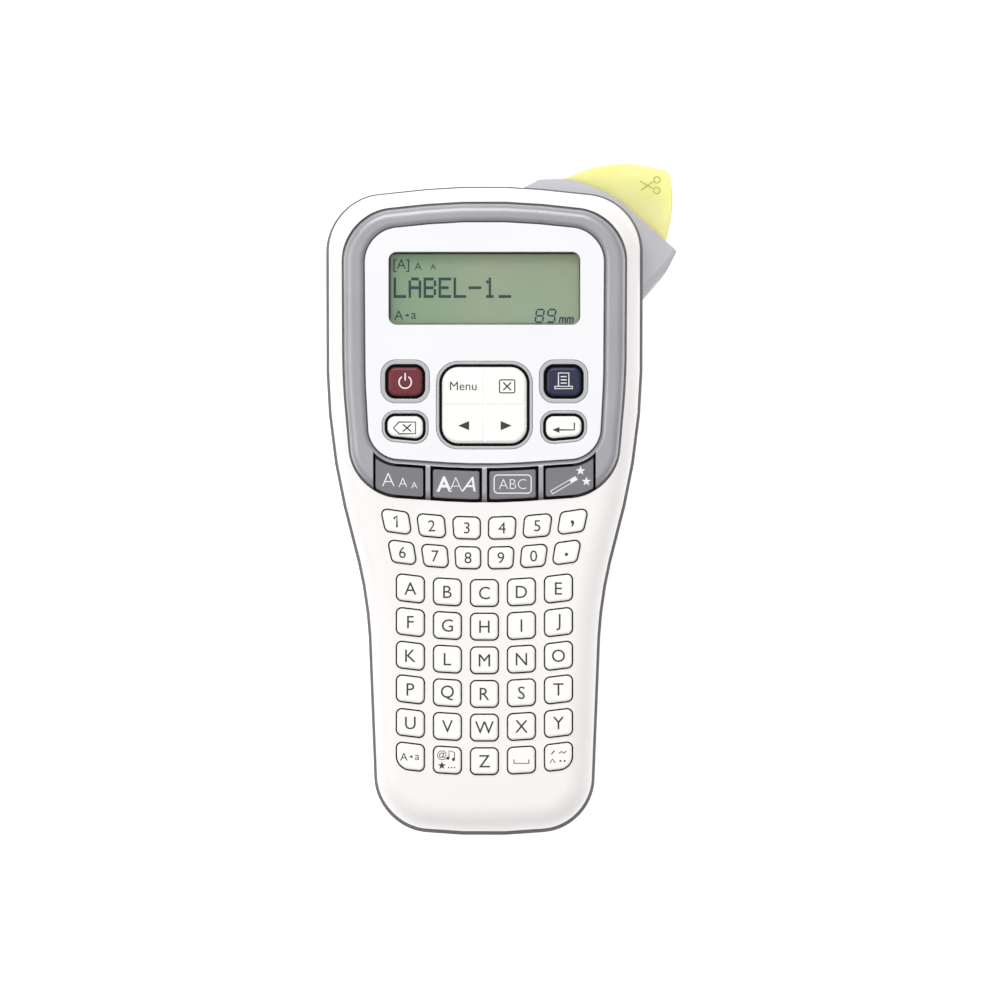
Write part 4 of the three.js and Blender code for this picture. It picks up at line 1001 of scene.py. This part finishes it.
shown = dots + figure(15.6, 57.9, 2.3, 3.9, "abcdefg") + figure(19.2, 57.9, 2.3, 3.9, "abcdfg")
shown += [ink_text("mm", 25.2, 58.6, 2.5, thin=-0.03, lean=0.2, wide=0.85),
          ink_text("[A]", -25.6, 75.3, 3.1, wide=0.95),
          ink_text("A", -20.4, 75.1, 2.3), ink_text("A", -15.8, 75.0, 1.8),
          ink_text("A", -26.4, 60.1, 2.9), ink_shape(triangle(-24.0, 60.0, 1.3, -1)),
          ink_text("a", -21.8, 59.8, 2.9)]
legend("display_segments", shown, cell_top + 0.02, "case", LCD_INK)


# %% [markdown]
# ## The rear case
# The grey case is a deep tray with rounded lower edges, a floor under the works, a hollow across
# the handle for the fingers, and walls round the cells. The fin at the head, where labels come out,
# is a piece of its own in a lighter grey, which is painted light: it is the case's own grey plastic,
# painted lighter because the fin's top faces the lamp. Its free end is rounded by five slanted cuts.
# It is built in the same order as a mould maker would think: shell, floor, ribs, then openings.

# %% shapes that more than one piece needs
EXIT, ALONG, OUTWARD = Vector((51.8, 71.8)), Vector((0.757, -0.6534)), Vector((0.6534, 0.757))
PIVOT = Vector((26.0, 98.4))
LEVER_TURN = 8.6


def path_plate(name, a0, a1, o0, o1, low, high):
    """A block that lies along the tape's way out."""
    corners = []
    for a, o in ((a0, o0), (a1, o0), (a1, o1), (a0, o1)):
        place = EXIT + ALONG * a + OUTWARD * o
        corners.append((place.x, place.y, 0.05))
    return plate(name, corners, low, high)


def grip_hollow(name, rise, reach=60):
    """The space behind the finger hollow, with a soft ramp at each end, pulled out along X."""
    near, far, top, floor = -4 + rise, -80 - rise, 11 + rise, max(rise, 0)
    profile = [(far, -1.0)]
    for way in (1, -1):
        start = far if way > 0 else near
        ramp = []
        for k in range(13):
            t = k / 12
            rise_share = 3 * (1 - t) * t * t + t ** 3
            run = 24 * (1 - t) ** 2 * t + 24 * (1 - t) * t * t + 16 * t ** 3
            ramp.append((start + way * run, floor + (top - floor) * rise_share))
        profile += ramp if way > 0 else ramp[::-1]
    profile.append((near, -1.0))
    bpy.ops.mesh.primitive_circle_add(vertices=len(profile), radius=1, fill_type="NGON")
    made = bpy.context.object
    made.name = name
    for vertex, (y, z) in zip(made.data.vertices, profile):
        vertex.co = Vector((-reach, y, z)) * MM
    pick(made, "FACE", lambda f: True)
    bpy.ops.mesh.extrude_region_move(TRANSFORM_OT_translate={"value": (2 * reach * MM, 0, 0)})
    bpy.ops.mesh.select_all(action="SELECT")
    bpy.ops.mesh.remove_doubles(threshold=1e-6)
    bpy.ops.mesh.normals_make_consistent(inside=False)
    done()
    return made


# %% rear case
REAR_TOP = z_of("rear_case")[1]
rear = plate("rear_shell", CASE, 0, REAR_TOP, 5)
outer = copied(rear)
round_rim(outer, 0, 5, steps=7)
round_rim(rear, 0, 5, steps=7)
inside = plate("inside", drawn_in(CASE, 1.8), 2, 40)
round_rim(inside, 2, 3.2, steps=3)
cut(rear, inside)
fuse(rear, plate("floor", drawn_in(CASE, 1.6), 25.2, 26.8))
skin = grip_hollow("skin", 2)
combine(skin, outer, "INTERSECT")
fuse(rear, skin)
cut(rear, grip_hollow("hand", 0))
for side in (-1, 1):
    x = sorted((side * 25.45, side * 27.25))
    fuse(rear, block("wall", *x, -79.5, -12.5, 14.8, 25.3))
for y in (-81.3, -12.5):
    fuse(rear, block("wall", -27.25, 27.25, y, y + 1.8, 14.8, 25.3))
fin = plate("exit_fin", FIN, 4.3, REAR_TOP)
for degrees in (12, 30, 48, 66, 80):
    turned = math.radians(degrees)
    slope = Vector((*(ALONG * math.cos(turned)), math.sin(turned)))
    place = Vector((*(ALONG * -8.85), REAR_TOP - 3.5)) + slope * 3.5
    pick(fin, "FACE", lambda f: True)
    bpy.ops.mesh.bisect(plane_co=place * MM, plane_no=slope, use_fill=True, clear_outer=True)
    done()
round_rim(fin, REAR_TOP, 0.5, steps=3)
cut(fin, plate("core", CASE, 0, 40, 5))
cut(rear, plate("cover_opening", drawn_in(CASE, 5.2), -1, 13.5, 5))
tools = []
for part in (0, 0.5, 1):
    swing = plate("swing", drawn_in(LEVER, -0.7), 7.4, 31.6)
    turn = Matrix.Rotation(math.radians(-LEVER_TURN * part), 4, "Z")
    back = Matrix.Translation((PIVOT.x * MM, PIVOT.y * MM, 0))
    swing.data.transform(back @ turn @ Matrix.Translation((-PIVOT.x * MM, -PIVOT.y * MM, 0)))
    tools.append(swing)
tools.append(path_plate("carrier_room", -10.6, -3.4, -6, 10, 5.3, 26))
tools.append(path_plate("tape_slot", -18, 9, -1, 1, -1, 19.5))
tools.append(disc("spring_room", PIVOT.x, PIVOT.y, 4.3, 9.5, 15.5))
tools.append(disc("pin_seat", PIVOT.x, PIVOT.y, 1.3, 5.7, 33.3))
for tool in tools:
    cut(rear, copied(tool))
    cut(fin, tool)
for x, y, r in ((34.613, 79.436, 1.5), (38.291, 53.226, 1.5), (19.108, 73.793, 3.6), (32.269, 66.141, 1.3),
                (-37.9, 12.5, 1.5), (37.9, 12.5, 1.5)):
    cut(rear, disc("floor_hole", x, y, r, 24, 28, 20))
bpy.ops.mesh.primitive_cylinder_add(vertices=32, radius=3.4 * MM, depth=12 * MM,
                                    location=(-48.9 * MM, 62.2 * MM, 31.8 * MM),
                                    rotation=(0, math.pi / 2, 0))
inlet_hole = bpy.context.object
bpy.ops.object.transform_apply(location=True, rotation=True, scale=True)
cut(rear, inlet_hole)
settle(rear, "case", CASE_GREY, ["rear_case"], smooth=30)
# The fin's lighter grey is painted light on the case's own grey plastic.
settle(fin, "case", FIN_GREY_PAINTED_LIT, smooth=30)

# %% [markdown]
# ## The back cover
# The cover closes the cells and the tape cassette. It follows the finger hollow, and it is made as
# one sheet: a flat and the hollow's skin, cut to the opening's outline. Ribs give grip under the
# latch, and a blank rating plate is set in it.

# %% back cover
cover = plate("cover_plate", drawn_in(CASE, 5.5), 0, 14, 5)
sheet = block("sheet", -60, 60, -110, 110, 0, 2)
fuse(sheet, grip_hollow("skin", 2, 60.5))
combine(cover, sheet, "INTERSECT")
cut(cover, grip_hollow("hand", 0, 61))
latch = [block_corners(-12, 12, 84.2 + k * 1.6, 84.9 + k * 1.6, 0.3) for k in range(4)]
cut(cover, joined("latch_grooves", [plate("groove", corners, -1, 0.5) for corners in latch]))
cut(cover, plate("label_bed", block_corners(-26, 26, 30, 62, 1.5), -1, 0.25))
round_rim(cover, 0, 0.25, steps=2)
settle(cover, "cover", CASE_GREY, ["back_cover"], smooth=30)
rating = plate("rating_label", block_corners(-25.6, 25.6, 30.4, 61.6, 1.2), 0.08, 0.24)
round_rim(rating, 0.08, 0.05, steps=1)
settle(rating, "cover", LABEL)

# %% [markdown]
# ## The cutter lever
# The lever is a tinted hollow shoe that turns on a pin in the fin. It is a plate with soft edges,
# hollowed from the side that faces the fin. A boss holds the pin. Raised scissors on its top
# show what it does; they are of the lever's plastic, painted a darker olive as the shade along them.

# %% lever
lever = plate("lever_shoe", LEVER, 8, 31, 5)
round_rim(lever, 31, 0.9, steps=4)
round_rim(lever, 8, 0.9, steps=4)
shifted = [(x - 2.6, y - 3, r) for x, y, r in drawn_in(LEVER, 1.6)]
cut(lever, plate("hollow", shifted, 9.6, 29.4))
fuse(lever, disc("boss", PIVOT.x, PIVOT.y, 3, 8.2, 30.8))
cut(lever, disc("pin_hole", PIVOT.x, PIVOT.y, 1.05, 0, 40, 24))
seat = disc("seat", PIVOT.x, PIVOT.y, 4.4, 9.5, 15.5)
cut(lever, cut(seat, disc("core", PIVOT.x, PIVOT.y, 2, 0, 40)))
settle(lever, "lever", LIME, ["cutter_lever"], smooth=30)

# The scissors' darker olive is painted shade.
scissors = [ink_line([(48.0, 101.6), (52.0, 99.3)], 0.34), ink_line([(48.4, 98.8), (52.2, 101.5)], 0.34),
            ink_line(arc(53.2, 98.7, 1.0, 0, 360, 14), 0.34, closed=True),
            ink_line(arc(53.3, 102.0, 0.95, 0, 360, 14), 0.34, closed=True)]
emblem = joined("lever_scissors", scissors)
emblem.data.transform(Matrix.Translation((0, 0, 31.0 * MM)) @ Matrix.Diagonal((1, 1, 8, 1)))
settle(emblem, "lever", LIME_PAINTED_SHADE_LINES, weighted=False)

# %% [markdown]
# ## The six cells
# Six AAA cells lie in the bay, turned about. One cell is turned up from a cylinder: a jacket with
# rolled ends, a cap with its button and the flat of the other pole. Five more are copies.

# %% cells
def spun(name, profile, steps=40):
    """A turned piece about the X axis: a line of (x, radius) points in mm, spun round."""
    bpy.ops.mesh.primitive_circle_add(vertices=len(profile), radius=1, fill_type="NOTHING")
    made = bpy.context.object
    made.name = name
    for vertex, (x, radius) in zip(made.data.vertices, profile):
        vertex.co = Vector((x, 0, radius)) * MM
    pick(made, "EDGE", lambda e: {v.index for v in e.verts} == {0, len(profile) - 1})
    bpy.ops.mesh.delete(type="EDGE")
    pick(made, "EDGE", lambda e: True)
    bpy.ops.mesh.spin(steps=steps, angle=2 * math.pi, center=(0, 0, 0), axis=(1, 0, 0))
    bpy.ops.mesh.select_all(action="SELECT")
    bpy.ops.mesh.remove_doubles(threshold=1e-6)
    bpy.ops.mesh.normals_make_consistent(inside=False)
    done()
    return made


CELL_SHAPE = [(-22.2, 0.0), (-22.2, 3.6), (-22.0, 3.8), (-21.9, 4.5), (-22.1, 4.7), (-21.9, 5.1),
              (-21.6, 5.25),
              (20.6, 5.25), (20.9, 5.1), (21.1, 4.7), (20.9, 4.4), (20.9, 2.1), (21.1, 1.95), (22.1, 1.9),
              (22.25, 1.7), (22.25, 0.0)]
master = spun("cell", CELL_SHAPE)
for i in range(6):
    node = f"battery_{i + 1}"
    low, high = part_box(node)
    middle = (low + high) / 2 / MM
    cell = copied(master)
    if i % 2:
        cell.data.transform(Matrix.Rotation(math.pi, 4, "Z"))
    cell.data.transform(Matrix.Translation(Vector((0, middle.y, middle.z)) * MM))
    cell.name = f"cell_{i + 1}"
    settle(cell, "batteries", CELL, [node], weighted=False)
bpy.data.objects.remove(master)

# %% [markdown]
# ## The works, as they are
# The gears, the shafts, the board and the cassette are right as they come from the engineering
# model, so they stay, and only get their finishes.

# %% finishes of the nodes that stay
KEPT = {
    BLACK_PLASTIC_AND_PAINTED_SHADE: ["lcd_holder", "dc_inlet", "blade_carrier"],
    BOARD: ["main_board"],
    CONTACT: ["key_contact_sheet", "print_head"],
    STEEL: ["cutter_lever_pin", "cutter_spring", "cutter_blade", "head_pin", "feed_motor",
            "mechanism_plate",
            "battery_contacts_left", "battery_contacts_right", "case_screw_left", "case_screw_right",
            "platen_shaft", "motor_pinion"],
    ALUMINIUM: ["head_heat_sink"],
    NYLON: ["platen_gear", "reduction_gear", "ribbon_drive_gear"],
    RUBBER: ["platen_roller"],
    CASSETTE: ["cassette_case", "cassette_lid"],
    LABEL: ["label_tape", "label_tape_roll"],
    RIBBON: ["ribbon_supply_spool", "ribbon_takeup_spool"],
}
for finish, names in KEPT.items():
    for name in names:
        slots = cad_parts[name].data.materials
        slots.clear()
        slots.append(finish.material)
print("nodes that stay:", sum(len(names) for names in KEPT.values()))

# %% [markdown]
# ## The studio
# The maker lies on a pale floor under a wide soft light from the head's side. The room round it is
# bright overhead and darker at the horizon, which shades the rounded edges. The camera looks
# straight down from far away, so the perspective is slight.

# %% floor, light and camera
bpy.ops.mesh.primitive_plane_add(size=6, location=(0, 0, 0))
floor = bpy.context.object
floor.name = "studio_floor"
floor.location.z = -0.0002
pale = Finish("floor_pale", Emission_Strength=0.6)
pale.feed("Base Color", pale.mix(pale.noise(60, 2), srgb(252, 252, 252), srgb(250, 250, 250)))
pale.shader.inputs["Emission Color"].default_value = (1, 1, 1, 1)
pale.shader.inputs["Roughness"].default_value = 0.9
floor.data.materials.append(pale.material)

room = bpy.data.worlds.new("studio_room")
bpy.context.scene.world = room
room.use_nodes = True
sky, links = room.node_tree.nodes, room.node_tree.links
way = sky.new("ShaderNodeTexCoord")
split = sky.new("ShaderNodeSeparateXYZ")
bright = sky.new("ShaderNodeMapRange")
bright.inputs["To Min"].default_value = 0.22
links.new(way.outputs["Generated"], split.inputs[0])
links.new(split.outputs["Z"], bright.inputs["Value"])
links.new(bright.outputs[0], sky["Background"].inputs["Color"])
sky["Background"].inputs["Strength"].default_value = 0.98
bpy.context.scene.view_settings.view_transform = "Standard"


def soft_light(name, place, size, watts):
    bpy.ops.object.light_add(type="AREA", location=place)
    lamp = bpy.context.object
    lamp.name = name
    lamp.data.shape = "RECTANGLE"
    lamp.data.size, lamp.data.size_y = size
    lamp.data.energy = watts
    lamp.rotation_euler = (Vector((0, 0, 0)) - Vector(place)).to_track_quat("-Z", "Y").to_euler()
    return lamp


soft_light("head_light", (-0.2, 1.3, 1.3), (1.4, 0.8), 14)
soft_light("left_light", (-1.3, 0.1, 1.2), (0.8, 1.2), 5)

FRAME_WIDTH, LENS, SENSOR = 0.308, 900, 36
CAMERA_HEIGHT = FACE_Z * MM + FRAME_WIDTH * LENS / SENSOR
bpy.ops.object.camera_add(location=(0.0048, 0.0031, CAMERA_HEIGHT), rotation=(0, 0, 0))
camera = bpy.context.object
camera.data.lens = LENS
camera.data.sensor_width = SENSOR
camera.data.clip_end = 20
bpy.context.scene.camera = camera
print("camera is", round(camera.location.z, 3), "m above the floor")
